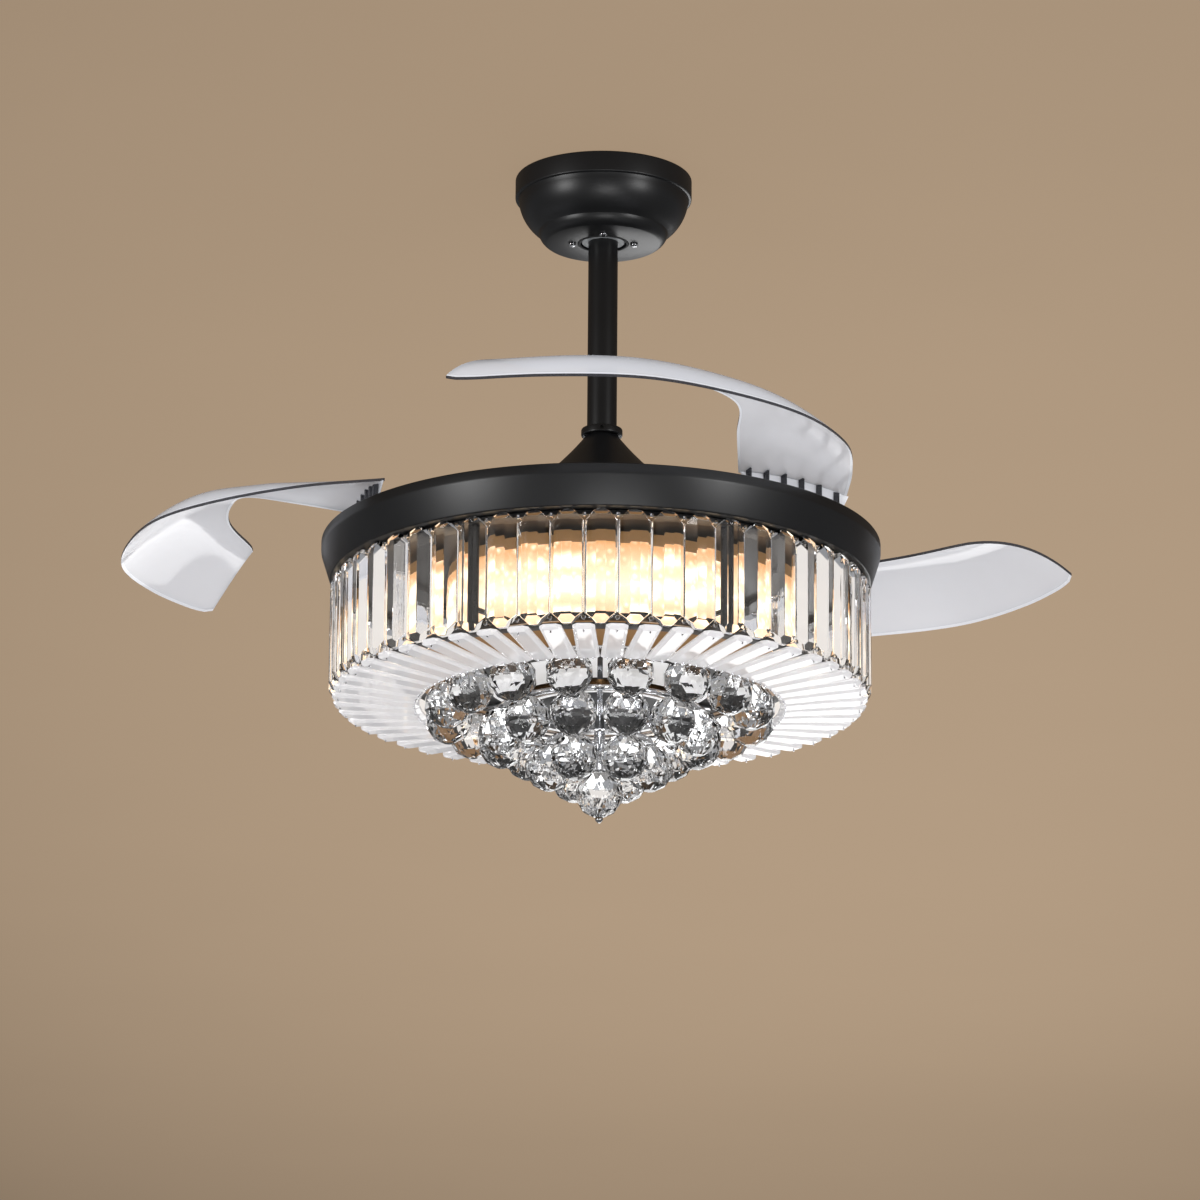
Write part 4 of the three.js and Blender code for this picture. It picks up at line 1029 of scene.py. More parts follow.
@dataclass
class Blade:
    """One clear blade with its foot, arm and hinge, drawn about its pivot pin."""

    shop: Workshop
    number: int
    station: float
    opening: float
    thickness: float = 2.6
    camber: float = 12.0
    tip_bow: float = 10.0
    tip_trim: float = 0.05
    bead: float = 0.022
    sections: int = 64
    chord_steps: int = 18
    pin_bore: float = 4.7
    screw_x: float = 20.0
    strip_top: float = 2.2
    foot_reach: float = 26.0
    spring_radius: float = 6.2
    ribs: int = 6
    rib_pitch: float = 18.0
    rib_half: float = 1.1
    root_y: float = -41.0
    strip_end: float = -78.0
    over_rim: float = 2.5
    outer_edge: tuple = (
        (19, 19, 18), (73, -33, 18.5), (126, -100, 15.5), (150, -177, 16.5),
        (144, -258, 18), (117, -338, 19), (59, -399, 19.5), (-17, -447, 20.5),
    )
    inner_edge: tuple = (
        (-8, -92, 21), (31, -136, 37), (65, -174, 49), (56, -232, 58), (30, -293, 60), (-15, -341, 56),
    )

    def build(self) -> None:
        """Makes the pieces."""
        self.body = Body[f"BLADE_{self.number}"]
        low, high = self.shop.span(f"pivot_pin_{self.number}")
        hinge = Matrix.Translation(((low.x + high.x) / 2, (low.y + high.y) / 2, 0))
        self.fixed = hinge @ Matrix.Rotation(math.radians(self.station), 4, "Z")
        self.swung = self.fixed @ Matrix.Rotation(math.radians(self.opening), 4, "Z")
        self.skin()
        self.arm()
        self.hinge_parts()

    def surface(self, u: float, v: float) -> Vector:
        """Point of the middle surface: u from root to tip, v from the outer to the inner edge."""
        late = max(0.0, (u - 0.94) / 0.06)
        trim = self.tip_trim * (1 - math.sqrt(max(0.0, 1 - late ** 2)))
        w = trim + v * (1 - 2 * trim)
        p = spline_point(self.outer_edge, u).lerp(spline_point(self.inner_edge, u), w)
        arch = 4 * w * (1 - w)
        out = max(0.0, (u - 0.7) / 0.3)
        p.x -= self.tip_bow * arch * out ** 2 * 0.7
        p.y -= self.tip_bow * arch * out ** 2 * 0.45
        p.z += self.camber * arch * min(1.0, 0.35 + u * 3)
        return p

    def skin(self) -> None:
        """Moulded skin with a painted dark edge and a painted highlight strip along it, ribs and a foot."""
        columns = self.chord_steps + 1
        half = Vector((0, 0, self.thickness / 2))
        # The first and last columns are narrow strips along the edges, for the painted highlight.
        across = [0.0] + [
            self.bead + (1 - 2 * self.bead) * j / (self.chord_steps - 2) for j in range(self.chord_steps - 1)
        ] + [1.0]
        grid = [[self.surface(i / self.sections, v) for v in across] for i in range(self.sections + 1)]
        points = [p + half for row in grid for p in row] + [p - half for row in grid for p in row]
        size = (self.sections + 1) * columns
        faces, walls = [], []
        for i in range(self.sections):
            for j in range(self.chord_steps):
                a, b = i * columns + j, (i + 1) * columns + j
                faces.append((a, a + 1, b + 1, b))
                faces.append((a + size, b + size, b + 1 + size, a + 1 + size))
        border = [i * columns for i in range(self.sections + 1)]
        border += [self.sections * columns + j for j in range(1, columns)]
        border += [i * columns + columns - 1 for i in range(self.sections - 1, -1, -1)]
        border += [j for j in range(columns - 2, 0, -1)]
        for a, b in zip(border, border[1:] + border[:1]):
            walls.append((a, b, b + size, a + size))
        shell = Shape(points, faces + walls).moved(self.swung)
        item = self.shop.piece(
            f"blade_{self.number}_skin", shell, self.body, Slot.CLEAR, [f"blade_{self.number}"], smooth=40,
        )
        # Painted dark edge on the side walls, painted highlight on the strips along the edges.
        item.data.materials.append(self.shop.palette.acrylic_painted_dark_edge)
        item.data.materials.append(self.shop.palette.acrylic_painted_highlight)
        beads = 2 * self.sections * self.chord_steps
        for index, polygon in enumerate(item.data.polygons):
            if index >= beads:
                polygon.material_index = 1
            elif (index // 2) % self.chord_steps in (0, self.chord_steps - 1):
                polygon.material_index = 2
        self.foot()

    def foot(self) -> None:
        """Ribs under the root, the strip that they stand on and the screws between them."""
        low = self.shop.span(f"blade_arm_{self.number}")[1].z + 0.3
        middle, reach = (self.ribs - 1) / 2, self.foot_reach
        ribs = []
        (x0, y0, _), (x1, y1, _) = self.outer_edge[0], self.inner_edge[0]
        for k in range(self.ribs):
            y = (k - middle) * self.rib_pitch + self.root_y
            start = x0 + (x1 - x0) * (y - y0) / (y1 - y0) + 3.0
            base = low if y > self.strip_end else self.over_rim
            top = [self.surface(u, self.chord_at(u, y)).z - self.thickness * 0.6 for u in (0.02, 0.05)]
            outline = [(start, base), (start + 5, base), (start + 5, max(base + 3, top[1])), (start, top[0])]
            rib = prism(outline, -self.rib_half, self.rib_half).turned_by(90, "X").at(0, y, 0)
            ribs.append(rib)
        strip = prism(
            [(14, 8), (reach, 8), (reach, self.strip_end), (2.5, self.strip_end), (2.5, -40)],
            low, low + self.strip_top,
        ).bevelled(0.4)
        # The strip and web are painted as highlight, the ribs with the painted dark edge.
        self.shop.piece(
            f"blade_{self.number}_foot", (strip + self.web(low)).moved(self.swung), self.body, Slot.CLEAR,
            material=self.shop.palette.acrylic_painted_highlight, smooth=30,
        )
        self.shop.piece(
            f"blade_{self.number}_ribs", joined(ribs).moved(self.swung), self.body, Slot.CLEAR,
            material=self.shop.palette.acrylic_painted_dark_edge, smooth=30,
        )
        head = rod(2.6, low + self.strip_top, low + 4.0, 0.7, 24)
        heads = [
            head.at(self.screw_x, (k - middle + 0.5) * self.rib_pitch + self.root_y, 0)
            for k in range(1, self.ribs - 1)
        ]
        self.shop.piece(
            f"foot_screws_{self.number}", joined(heads).moved(self.swung), self.body, Slot.CHROME, smooth=30,
        )

    def web(self, low: float) -> Shape:
        """Upright wall that brings the skin's root down to the strip."""
        steps, thick = 16, Vector((1.6, 0, 0))
        sheets: tuple[list[Vector], list[Vector]] = ([], [])
        for i in range(steps + 1):
            top = self.surface(0.0, i / steps) - Vector((-1.0, 0, self.thickness * 0.4))
            y = min(8.0, max(self.strip_end, top.y))
            base = Vector((max(2.8, top.x + 0.5), y, low + 0.4 if top.y > self.strip_end else self.over_rim))
            sheets[0].extend((base, base + thick))
            sheets[1].extend((top, top + thick))
        count = 2 * (steps + 1)
        faces: list[tuple[int, ...]] = [
            (0, 1, count + 1, count), (count - 2, 2 * count - 2, 2 * count - 1, count - 1),
        ]
        for i in range(0, count - 2, 2):
            faces += [
                (i, i + 2, count + i + 2, count + i), (i + 1, count + i + 1, count + i + 3, i + 3),
                (i, i + 1, i + 3, i + 2), (count + i, count + i + 2, count + i + 3, count + i + 1),
            ]
        return Shape(sheets[0] + sheets[1], faces)

    def chord_at(self, u: float, y: float) -> float:
        """Share of the chord at which the surface passes a given y, near the root."""
        outer, inner = spline_point(self.outer_edge, u).y, spline_point(self.inner_edge, u).y
        return min(1.0, max(0.0, (y - outer) / (inner - outer)))

    def arm(self) -> None:
        """Cast arm with soft edges, and its clamping strip with three screws."""
        node = f"blade_arm_{self.number}"
        low, high = self.shop.span(node)
        outline = [
            (-10, 6), (-10, -30), (-6, -62), (4, -78), (14, -78), (26, -52), (26, 4), (20, 12), (4, 14),
            (-6, 12),
        ]
        body = prism(outline, low.z, high.z).bevelled(1.0, 2)
        bore = rod(self.pin_bore, low.z - 2, high.z + 2, 0, 32)
        well = rod(8.2, low.z - 2, low.z + 3.2, 0, 32)
        shape = self.shop.carve(body, bore, well).moved(self.swung)
        self.shop.piece(f"cast_arm_{self.number}", shape, self.body, Slot.BLACK, [node], smooth=30)
        node = f"blade_clamp_{self.number}"
        top = self.shop.span(node)[1].z
        strip = prism([(16, -60), (24, -60), (24, -16), (16, -16)], top - 1.2, top).bevelled(0.25)
        head = rod(3.2, top - 2.0, top - 0.6, 0.5, 24)
        heads = joined(head.at(self.screw_x, y, 0) for y in (-52, -38, -24))
        self.shop.piece(
            f"clamp_strip_{self.number}", (strip + heads).moved(self.swung), self.body, Slot.CHROME, [node],
            smooth=30,
        )

    def hinge_parts(self) -> None:
        """Base, shoulder pin and wound return spring."""
        n = self.number
        low, high = self.shop.span(f"hinge_base_{n}")
        base = prism([(-14, 12), (-14, -34), (-6, -40), (8, -40), (12, -34), (12, 12)], low.z, low.z + 3)
        boss = rod(9, low.z + 0.2, high.z, 0.5, 48)
        bore = rod(self.pin_bore, low.z - 1, high.z + 1, 0, 32)
        plate, ring = self.shop.carve(base.bevelled(0.6, 2), bore), self.shop.carve(boss, bore)
        self.shop.piece(
            f"hinge_plate_{n}", (plate + ring).moved(self.fixed), Body.ROTOR, Slot.BLACK, [f"hinge_base_{n}"],
            smooth=30,
        )
        low, high = self.shop.span(f"pivot_pin_{n}")
        pin = spun(softened([
            (0, low.z), (4, low.z), (4, high.z - 3), (7, high.z - 3), (7, high.z - 1), (5.6, high.z),
            (0, high.z),
        ], 0.4), 48)
        angles = [math.radians(a) for a in range(0, 360, 60)]
        hexagon = [(2.4 * math.cos(a), 2.4 * math.sin(a)) for a in angles]
        socket = prism(hexagon, high.z - 1.6, high.z + 1)
        self.shop.piece(
            f"shoulder_pin_{n}", self.shop.carve(pin, socket).moved(self.fixed), Body.ROTOR, Slot.STEEL,
            [f"pivot_pin_{n}"], smooth=30,
        )
        low, high = self.shop.span(f"return_spring_{n}")
        wire, turns, steps = 0.45, 3, 96
        rise = (high.z - low.z - 2 * wire) / (turns * steps)
        r, angle = self.spring_radius, 2 * math.pi / steps
        coil = [
            Vector((r * math.cos(angle * i), r * math.sin(angle * i), low.z + wire + rise * i))
            for i in range(turns * steps + 1)
        ]
        self.shop.piece(
            f"wound_spring_{n}", tube(coil, wire, 8).moved(self.fixed), Body.ROTOR, Slot.STEEL,
            [f"return_spring_{n}"],
        )


# ---------------------------------------------------------------- light kit


@dataclass
class BlackPan:
    """Rim and pan above the crystals."""

    shop: Workshop
    wall: float = 2.0
    hole: float = 20.0
    band_height: float = 9.0

    def build(self) -> None:
        """Makes the pieces."""
        low, high = self.shop.span("housing_pan")
        rim, foot = self.shop.radius("housing_pan"), self.shop.radius("crystal_bars")
        profile = softened([
            (self.hole, low.z), (foot, low.z), (rim, -self.band_height), (rim, high.z),
            (rim - self.wall, high.z), (rim - self.wall, -self.band_height),
            (foot - self.wall, low.z + self.wall), (self.hole, low.z + self.wall),
        ], 1.3, 4)
        self.shop.piece("rim_pan", spun(profile, 200), Body.HEAD, Slot.BLACK, ["housing_pan"], smooth=30)


@dataclass
class CrystalDrum:
    """Upright bars, the star of flat crystals under them, and the black frame that carries both."""

    shop: Workshop
    count: int = 51
    facet: float = 8.7
    bevel_depth: float = 5.4
    edge: float = 3.0
    corner: float = 10.5
    flat_width: float = 19.5
    flat_thickness: float = 4.5
    flat_fall: float = 6.0
    flat_length: float = 78.0
    end_cut: float = 6.5
    swing: float = 0.9
    tip: float = 0.12
    frame_width: float = 16.0
    frame_thickness: float = 4.0
    holder_gap: float = 0.3
    struts: int = 6
    seed: int = 7

    def build(self) -> None:
        """Makes the pieces."""
        self.low, self.high = self.shop.span("crystal_bars")
        self.outer = self.shop.radius("crystal_bars")
        self.pitch = 360 / self.count
        self.joint = self.outer - self.bevel_depth
        self.bars()
        self.flats()
        self.frame()

    def bar(self) -> Shape:
        """One upright bar, standing at the front of the drum."""
        half_pitch = math.radians(self.pitch / 2)
        half = self.joint * math.tan(half_pitch) - 0.25
        front, side, back = -self.outer, -self.joint * math.cos(half_pitch), -self.joint + self.edge
        outline = [
            (-self.facet / 2, front), (self.facet / 2, front), (half, side), (half, back),
            (half - 3.0, back + 2.2), (-half + 3.0, back + 2.2), (-half, back),
        ]
        block = prism(outline, self.low.z, self.high.z)
        slope = math.sqrt(0.5)
        planes = []
        for x in (-1, 1):
            for end, z in ((1, self.high.z), (-1, self.low.z)):
                planes.append((Vector((x * (half - self.corner), 0, z)), Vector((x * slope, 0, end * slope))))
        for end, z in ((1, self.high.z), (-1, self.low.z)):
            planes.append((Vector((0, front, z - end * self.end_cut)), Vector((0, -0.80, end * 0.60))))
        return block.clipped(planes).bevelled(0.35)

    def bars(self) -> None:
        """The ring of bars, each a hair out of line as they hang."""
        draw = random.Random(self.seed)
        bar = self.bar()
        centre = Matrix.Translation((0, -self.joint, (self.low.z + self.high.z) / 2))
        hung = []
        for i in range(self.count):
            swing = Matrix.Rotation(math.radians(draw.uniform(-self.swing, self.swing)), 4, "Z")
            tip = Matrix.Rotation(math.radians(draw.uniform(-self.tip, self.tip)), 4, "X")
            hung.append(bar.moved(centre @ swing @ tip @ centre.inverted()).turned_by(i * self.pitch))
        self.shop.piece(
            "upright_crystals", joined(hung), Body.HEAD, Slot.CRYSTAL, ["crystal_bars"],
            self.shop.palette.bar_crystal, smooth=0,
        )
        bead = hull(
            Vector((r * math.sin(a), r * math.cos(a), z))
            for r, z in ((0.9, 2.0), (2.0, 0.8), (2.0, -0.8), (0.9, -2.0))
            for a in (math.pi * k / 4 for k in range(8))
        )
        wire = rod(0.55, -0.5, 8.0, 0.1, 10).turned_by(-90, "X")
        pins = joined(
            bead.at(0, -self.joint - 0.6, z) + wire.at(0, -self.joint, z)
            for z in (self.high.z - 5.0, self.low.z + 5.0)
        )
        self.shop.piece(
            "bar_pins", pins.around(self.count, self.pitch / 2), Body.HEAD, Slot.CHROME, smooth=30,
        )

    def flats(self) -> None:
        """Flat crystals that run inwards under the drum, pinned at both ends."""
        outer, top = self.shop.radius("radial_crystals"), self.shop.span("radial_crystals")[1].z
        half, inner = self.flat_width / 2, outer - self.flat_length
        root = min(half, math.radians(self.pitch / 2) * (inner + 5) - 0.5)
        t = self.flat_thickness
        outline = [(-half, -outer), (half, -outer), (root, -inner), (-root, -inner)]
        block = prism(outline, top - t, top)
        planes = []
        for x in (-1, 1):
            planes.append((Vector((x * half, -outer, top - t + 2.2)), Vector((x * 0.55, 0, -0.83))))
            planes.append((Vector((x * (half - 4), -outer, top)), Vector((x * 0.7, -0.7, 0))))
        planes.append((Vector((0, -outer, top - t + 2.6)), Vector((0, -0.6, -0.8))))
        planes.append((Vector((0, -inner, top - t + 2.6)), Vector((0, 0.6, -0.8))))
        flat = block.clipped(planes).bevelled(0.3)
        fall = self.flat_fall / self.flat_length
        sloped = Shape([p - Vector((0, 0, (p.y + outer) * fall)) for p in flat.points], flat.faces)
        ring = sloped.around(self.count, self.pitch / 2)
        self.shop.piece(
            "flat_crystals", ring, Body.HEAD, Slot.CRYSTAL, ["radial_crystals"], self.shop.palette.milky,
            smooth=0,
        )
        pin = rod(0.8, top - t - 1.6, top + 1.2, 0.3, 12)
        places = [(0.0, outer - 5.5), (-4.0, inner + 5.0), (4.0, inner + 5.0)]
        pins = joined(pin.at(x, -r, -(outer - r) * fall) for x, r in places)
        self.shop.piece(
            "flat_pins", pins.around(self.count, self.pitch / 2), Body.HEAD, Slot.CHROME, smooth=30,
        )

    def frame(self) -> None:
        """Black rings, struts and spokes."""
        low, high = self.shop.span("crystal_frame")
        outer = self.shop.radius("crystal_frame")
        inner, thick = outer - self.frame_width, self.frame_thickness
        glass = self.shop.radius("diffuser")
        seat = self.shop.span("diffuser")[0].z - self.holder_gap
        rings = band(inner, outer, high.z - thick, high.z) + band(inner, outer - 3, low.z, low.z + 2.5)
        holder = band(glass - 10, glass + 3, seat - thick, seat)
        middle = (inner + outer) / 2
        strut = rod(2.5, low.z + 1, high.z - 1, 0.2, 16).at(middle, 0, 0)
        spoke = prism(
            [(glass, -3), (middle, -3), (middle, 3), (glass, 3)], seat - thick + 0.5, seat - 0.5,
        ).bevelled(0.4)
        shape = rings + holder + (strut + spoke).around(self.struts)
        self.shop.piece("black_frame", shape, Body.HEAD, Slot.BLACK, ["crystal_frame"], smooth=30)


@dataclass
class Lamp:
    """Reflector plate, capsule lamps and the bubble-glass ring round them."""

    shop: Workshop
    lamps: int = 8
    lamp_circle: float = 140.0
    capsule: float = 7.0
    cap_height: float = 13.0
    shaft_clear: float = 9.3
    glass_wall: float = 4.0
    ripple: float = 1.1

    def build(self) -> None:
        """Makes the pieces."""
        low, high = self.shop.span("lamp_plate")
        radius = self.shop.radius("lamp_plate")
        plate = band(self.shaft_clear, radius, low.z, high.z, 0.4, 144)
        self.shop.piece("reflector_plate", plate, Body.HEAD, Slot.WHITE, ["lamp_plate"], smooth=30)
        self.capsules()
        self.glass_ring()

    def capsules(self) -> None:
        """Ceramic sockets on their ring, and the lit capsules."""
        low, high = self.shop.span("bulb_ring")
        r = self.capsule
        cap_z = high.z - self.cap_height
        ring = band(self.lamp_circle - 5, self.lamp_circle + 5, high.z - 2, high.z, 0.4, 96)
        socket = spun(softened([
            (0, cap_z), (r + 1.5, cap_z), (r + 1.5, high.z - 1), (0, high.z - 1),
        ], 1.0), 32)
        sockets = ring + socket.at(self.lamp_circle, 0, 0).around(self.lamps)
        self.shop.piece(
            "lamp_sockets", sockets, Body.HEAD, Slot.WARM, ["bulb_ring"], self.shop.palette.ceramic,
            smooth=30,
        )
        steps = 8
        dome = [
            (r * math.sin(math.pi / 2 * i / steps), low.z + r - r * math.cos(math.pi / 2 * i / steps))
            for i in range(steps + 1)
        ]
        capsule = spun([*dome, (r, cap_z - 0.2), (0, cap_z - 0.2)], 28)
        lit = capsule.at(self.lamp_circle, 0, 0).around(self.lamps)
        self.shop.piece(
            "lamp_capsules", lit, Body.HEAD, Slot.WARM, material=self.shop.palette.bulb, smooth=40,
        )

    def glass_ring(self) -> None:
        """Ring of bubble glass with a rippled face, and the band above it with a painted amber glow."""
        low, high = self.shop.span("diffuser")
        radius = self.shop.radius("diffuser")
        draw = random.Random(3)
        rows, sides, inner = 12, 180, radius - self.glass_wall
        profile: Profile = [(inner, low.z), (radius, low.z)]
        profile += [(radius, low.z + (high.z - low.z) * i / rows) for i in range(1, rows)]
        profile += [(radius, high.z), (inner, high.z)]
        ring = spun(profile, sides)
        for p in ring.points:
            flat = math.hypot(p.x, p.y)
            if flat > radius - 1 and low.z + 1 < p.z < high.z - 1:
                factor = 1 - draw.uniform(0.0, self.ripple) / flat
                p.x *= factor
                p.y *= factor
        self.shop.piece("bubble_glass", ring, Body.HEAD, Slot.WARM, ["diffuser"], smooth=50)
        top = self.shop.span("crystal_bars")[1].z - 2.0
        # Band with a painted warm glow.
        amber = band(radius - 3, radius - 1, high.z + 0.3, top, 0.3, 120)
        self.shop.piece(
            "amber_glow_band", amber, Body.HEAD, Slot.WARM, material=self.shop.palette.amber, smooth=30,
        )


@dataclass
class CrystalDrops:
    """Column, stepped chrome rings, plates painted as a polished plate's reflections, and the faceted balls
    that hang from them.
    """

    shop: Workshop
    ball: float = 21.4
    eye: float = 18.9
    tiers: tuple = ((1, 137.0, -155.0, 16, 11.25), (2, 90.0, -178.0, 12, 15.0), (3, 44.5, -205.0, 6, 30.0))
    ring_width: float = 8.0
    ring_thickness: float = 3.0
    ring_gap: float = 1.5
    plate_gap: float = 3.0
    plate_hole: float = 34.0
    plate_edge: float = 100.0
    plate_thickness: float = 1.2
    pale_ring: tuple[float, float] = (15.0, 10.3)
    collar_width: float = 10.0
    collar_height: float = 8.0
    skirt_inset: float = 10.0
    shaft_clear: float = 9.3
    centre_height: float = -229.0
    facets: int = 12
    rows: tuple[int, ...] = (-76, -48, -16, 16, 48, 76)

    def build(self) -> None:
        """Makes the pieces."""
        self.column()
        self.rings()
        self.plates()
        for number, radius, height, count, turn in self.tiers:
            self.tier(number, radius, height, count, turn)
        drop = self.faceted().turned_by(9).at(0, 0, self.centre_height)
        self.shop.piece("centre_drop", drop, Body.HEAD, Slot.CRYSTAL, ["centre_ball"], smooth=0)
        low, high = self.shop.span("finial")
        tip = spun(softened([
            (0, low.z), (1.4, low.z), (3.5, low.z + 2.5), (3.5, high.z), (0, high.z),
        ], 0.6, 4), 40)
        self.shop.piece("finial_tip", tip, Body.HEAD, Slot.CHROME, ["finial"], smooth=40)

    def faceted(self) -> Shape:
        """Crystal ball cut in offset rows of facets, with a small table at each pole."""
        points = []
        for row, latitude in enumerate(self.rows):
            level = self.ball * math.cos(math.radians(latitude))
            height = self.ball * math.sin(math.radians(latitude))
            for k in range(self.facets):
                a = 2 * math.pi * (k + 0.5 * (row % 2)) / self.facets
                points.append(Vector((level * math.cos(a), level * math.sin(a), height)))
        return hull(points)

    def tier(self, number: int, radius: float, height: float, count: int, turn: float) -> None:
        """One ring of balls, each turned its own way, with the pins that carry them."""
        draw = random.Random(40 + number)
        ball = self.faceted()
        balls = []
        for i in range(count):
            own = ball.turned_by(draw.uniform(0, 30)).turned_by(draw.uniform(-4, 4), "X")
            balls.append(own.at(radius, 0, height).turned_by(turn - 90 + i * 360 / count))
        self.shop.piece(
            f"crystal_drops_{number}", joined(balls), Body.HEAD, Slot.CRYSTAL, [f"ball_tier_{number}"],
            smooth=0,
        )
        eye = height + self.eye
        stem = rod(0.8, eye - 3, eye + 2.4, 0.2, 12)
        cap = spun(softened([(0, eye + 1.4), (3.2, eye + 1.2), (2.0, eye + 2.4), (0, eye + 2.6)], 0.4), 24)
        pins = (stem + cap).at(radius, 0, 0).around(count, turn - 90)
        self.shop.piece(f"drop_pins_{number}", pins, Body.HEAD, Slot.CHROME, smooth=30)

    def column(self) -> None:
        """Black column between the lamps."""
        low, high = self.shop.span("centre_column")
        radius = self.shop.radius("centre_column")
        profile = softened([
            (self.shaft_clear, high.z), (radius, high.z), (radius, low.z), (radius - 2, low.z),
            (radius - 2, high.z - 10), (self.shaft_clear, high.z - 10),
        ], 0.6)
        self.shop.piece(
            "black_column", spun(profile, 72), Body.HEAD, Slot.BLACK, ["centre_column"], smooth=30,
        )

    def rings(self) -> None:
        """Three polished rings, their spokes and the stem."""
        low, high = self.shop.span("tier_frame")
        parts, half = [], self.ring_width / 2
        for _, radius, height, _, _ in self.tiers:
            base = height + self.eye + self.ring_gap
            parts.append(band(radius - half, radius + half, base, base + self.ring_thickness, 0.8, 120))
            outline = [(0, -2.5), (radius, -2.5), (radius, 2.5), (0, 2.5)]
            parts.append(prism(outline, base + 0.3, base + 2.7).bevelled(0.4).around(3, 30))
        parts.append(rod(5, low.z, high.z, 0.6, 40))
        self.shop.piece("tier_rings", joined(parts), Body.HEAD, Slot.CHROME, ["tier_frame"], smooth=30)

    def plates(self) -> None:
        """Stepped plates over the balls, painted as a polished plate's reflections: a skirt with a painted
        warm glow, pale glowing plates as the bright reflection in black ones as the dark reflection, and a
        brown ring as the reflection in its wall.
        """
        (_, wide, wide_z, _, _), (_, narrow, narrow_z, _, _), _ = self.tiers
        palette, half, thick = self.shop.palette, self.ring_width / 2, self.plate_thickness
        lift = self.eye + self.ring_gap + self.ring_thickness + 0.2
        edge, base = wide - half - self.plate_gap, wide_z + lift
        # Plates painted pale and glowing as the bright reflection in a polished plate.
        pale = band(self.plate_hole, self.plate_edge, base + 0.2, base + thick, 0.3, 120)
        holder_z = self.shop.span("diffuser")[0].z - 4.6
        skirt_r = self.shop.radius("diffuser") - self.skirt_inset
        # Skirt with a painted warm glow.
        skirt = spun([
            (edge + 0.3, base), (skirt_r, holder_z), (skirt_r - 3, holder_z), (edge + 0.3, base + 1.3),
        ], 120)
        self.shop.piece("amber_glow_skirt", skirt, Body.HEAD, Slot.WARM, material=palette.amber, smooth=30)
        # Plates painted black as the dark reflection in a polished plate.
        black = band(self.plate_edge + 0.3, edge, base, base + thick, 0.3, 120)
        edge, base = narrow - half - self.plate_gap, narrow_z + lift
        inner, outer = (edge - inset for inset in self.pale_ring)
        pale += band(inner, outer, base, base + thick, 0.3, 96)
        black += band(14.0, inner - 0.3, base, base + thick, 0.3, 96)
        self.shop.piece("painted_reflection_plates", pale, Body.HEAD, Slot.CHROME, material=palette.pale, smooth=30)
        self.shop.piece("painted_dark_reflection_plates", black, Body.HEAD, Slot.BLACK, smooth=30)
        # Ring painted brown as the reflection in a polished wall.
        collar = band(edge - self.collar_width, edge, base, base + self.collar_height, 0.6, 120)
        self.shop.piece("brown_reflection_ring", collar, Body.HEAD, Slot.CHROME, material=palette.brown_reflection, smooth=30)


# ---------------------------------------------------------------- studio


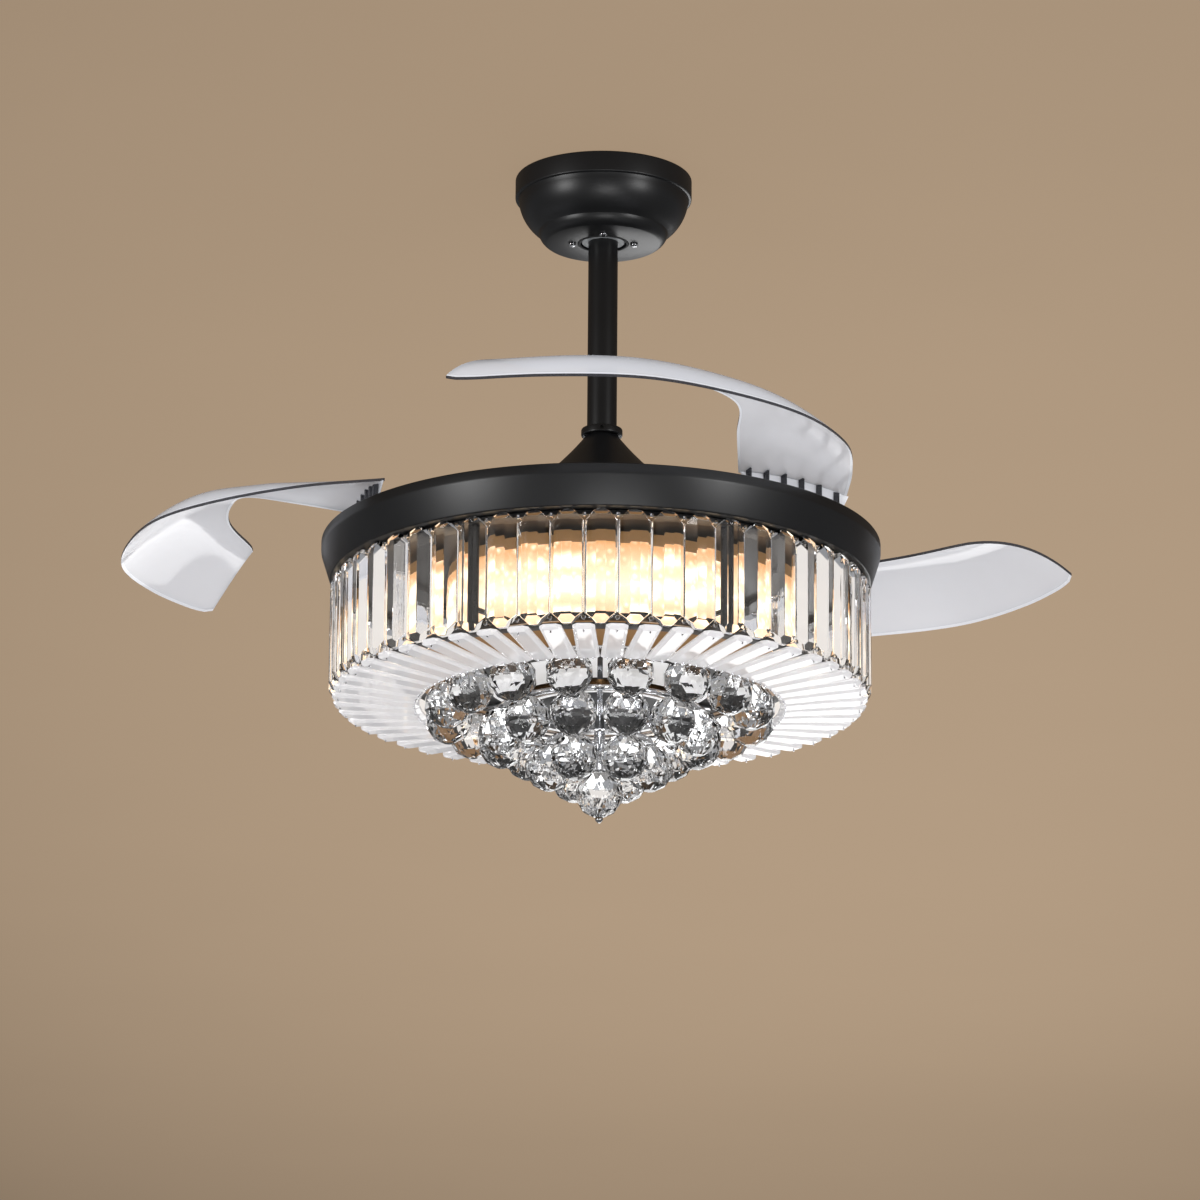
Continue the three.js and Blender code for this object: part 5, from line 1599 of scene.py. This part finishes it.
@dataclass
class Studio:
    """Camera at the photograph's viewing angle, soft lamps, and a one-sided ceiling and floor."""

    distance: float = 6.075
    camera_height: float = -2.2
    tilt: float = 16.525
    roll: float = 0.42
    sensor: float = 36.0
    lens: float = 212.97
    shift: float = -0.0005
    ceiling_colour: Colour = (0.452, 0.331, 0.222)
    ceiling_through: Colour = (0.86, 0.82, 0.78)
    floor_colour: Colour = (0.66, 0.65, 0.64)
    floor_through: Colour = (0.34, 0.33, 0.32)
    floor_height: float = -2.7
    wall_colour: Colour = (0.93, 0.95, 1.0)
    level: float = 0.80
    seen: float = 0.9
    beyond: float = 1.0
    mirrored: float = 0.16
    sheen: float = 0.22
    shadow_share: float = 0.12
    # Centre and fall-off of the painted patch of light on both sheets.
    pool: tuple[float, float] = (0.3, 1.7)
    pool_fall: tuple[float, float] = (0.13, 0.023)
    reach: float = 9.0

    def build(self) -> None:
        """Sets up everything that isn't the fan."""
        self.camera()
        self.world()
        self.sheet("ceiling", 0.0006, self.ceiling_colour, self.ceiling_through, True)
        self.sheet("floor", self.floor_height, self.floor_colour, self.floor_through, False)
        self.lamp("left_box", (-3.5, -2.6, -0.9), 1.2, 60)
        self.lamp("right_box", (3.3, -2.9, -0.8), 1.1, 46)
        self.lamp("low_fill", (0.3, -3.2, -2.3), 1.4, 30)
        self.lamp("back_fill", (0.8, 3.4, -1.5), 1.8, 24)
        bpy.context.scene.view_settings.view_transform = "Standard"

    def camera(self) -> None:
        """Camera below the fan, looking up at it."""
        data = bpy.data.cameras.new("camera")
        data.sensor_width = self.sensor
        data.lens = self.lens
        data.shift_x = self.shift
        data.clip_end = 60
        item = bpy.data.objects.new("camera", data)
        raised = Matrix.Rotation(math.radians(90 + self.tilt), 4, "X")
        rolled = Matrix.Rotation(math.radians(self.roll), 4, "Z")
        item.matrix_world = Matrix.Translation((0, -self.distance, self.camera_height)) @ raised @ rolled
        bpy.context.scene.collection.objects.link(item)
        bpy.context.scene.camera = item

    def world(self) -> None:
        """Even pale light from all sides, white to rays through crystal and dim in reflections."""
        world = bpy.data.worlds.new("studio")
        world.use_nodes = True
        tree = world.node_tree
        sky = tree.nodes["Background"]
        sky.inputs["Color"].default_value = (*self.wall_colour, 1.0)
        path = tree.nodes.new("ShaderNodeLightPath")
        strength = None
        for kind, change in (
            ("Camera", self.seen - self.level), ("Transmission", self.beyond - self.level),
            ("Glossy", self.mirrored - self.level),
        ):
            step = tree.nodes.new("ShaderNodeMath")
            step.operation = "MULTIPLY_ADD"
            tree.links.new(path.outputs[f"Is {kind} Ray"], step.inputs[0])
            step.inputs[1].default_value = change
            if strength is None:
                step.inputs[2].default_value = self.level
            else:
                tree.links.new(strength, step.inputs[2])
            strength = step.outputs[0]
        tree.links.new(strength, sky.inputs["Strength"])
        bpy.context.scene.world = world

    def sheet(self, name: str, height: float, colour: Colour, through: Colour, faces_down: bool) -> None:
        """Sheet that is seen from one side only, with a painted patch of light that darkens away from the
        fan; it keeps the fan's shadow and sends back even light.

        Args:
            name: its name.
            height: metres.
            colour: what the camera sees.
            through: what is seen of it through crystal.
            faces_down: whether it is seen from below.
        """
        corners = [(x * self.reach, y * self.reach, height) for x, y in ((-1, -1), (1, -1), (1, 1), (-1, 1))]
        data = bpy.data.meshes.new(name)
        data.from_pydata(corners, [], [(3, 2, 1, 0) if faces_down else (0, 1, 2, 3)])
        bench = PaintBench(name)
        # Painted patch of light: the colour darkens towards black away from a point near the fan, with a
        # faint mottle.
        x, y = bench.axis("X") - self.pool[0], bench.axis("Y") - self.pool[1]
        mottle = bench.noise(3.0, 4.0) * 0.03
        fall = (x * x * self.pool_fall[0] + y * y * self.pool_fall[1] + mottle).clipped()
        tone = bench.mix(fall, colour, (0.0, 0.0, 0.0))
        even = bench.add("ShaderNodeEmission", {}, {"Color": tone, "Strength": 1.0})
        paint = bench.principled(Base_Color=tone, Roughness=0.9)
        shown = bench.add("ShaderNodeMixShader", {}, {0: self.shadow_share, 1: even, 2: paint})
        lit, sheen, beyond = (
            bench.add("ShaderNodeEmission", {}, {"Color": (*shade, 1.0), "Strength": strength})
            for shade, strength in ((self.wall_colour, self.level), (colour, self.sheen), (through, 1.0))
        )
        for kind, look in (("Glossy", sheen), ("Transmission", beyond), ("Camera", shown)):
            chosen = bench.add("ShaderNodeLightPath", {}, {}, f"Is {kind} Ray")
            lit = bench.add("ShaderNodeMixShader", {}, {0: chosen, 1: lit, 2: look})
        behind = bench.add("ShaderNodeNewGeometry", {}, {}, "Backfacing")
        clear = bench.add("ShaderNodeBsdfTransparent", {}, {})
        one_sided = bench.add("ShaderNodeMixShader", {}, {0: behind, 1: lit, 2: clear})
        data.materials.append(bench.finish(one_sided))
        item = bpy.data.objects.new(name, data)
        bpy.context.scene.collection.objects.link(item)

    def lamp(self, name: str, place: tuple[float, float, float], size: float, power: float) -> None:
        """Square soft box aimed at the drum."""
        data = bpy.data.lights.new(name, "AREA")
        data.shape = "SQUARE"
        data.size = size
        data.energy = power
        item = bpy.data.objects.new(name, data)
        item.location = place
        item.rotation_euler = (Vector((0, 0, -0.3)) - Vector(place)).to_track_quat("-Z", "Y").to_euler()
        bpy.context.scene.collection.objects.link(item)


def main() -> None:
    """Builds the studio and dresses the fan, one sub-assembly after another."""
    logging.basicConfig(level=logging.INFO, format="%(name)s %(message)s")
    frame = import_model()
    Studio().build()
    shop = Workshop(frame)
    parts: list[CeilingMount | Suspension | Motor | Blade | BlackPan | CrystalDrum | Lamp | CrystalDrops] = [
        CeilingMount(shop), Suspension(shop), Motor(shop),
        Blade(shop, 1, 204.0, 2.5), Blade(shop, 2, 84.0, 1.0), Blade(shop, 3, 324.0, -8.0),
        BlackPan(shop), CrystalDrum(shop), Lamp(shop), CrystalDrops(shop),
    ]
    for part in parts:
        part.build()


if __name__ == "__main__":
    main()
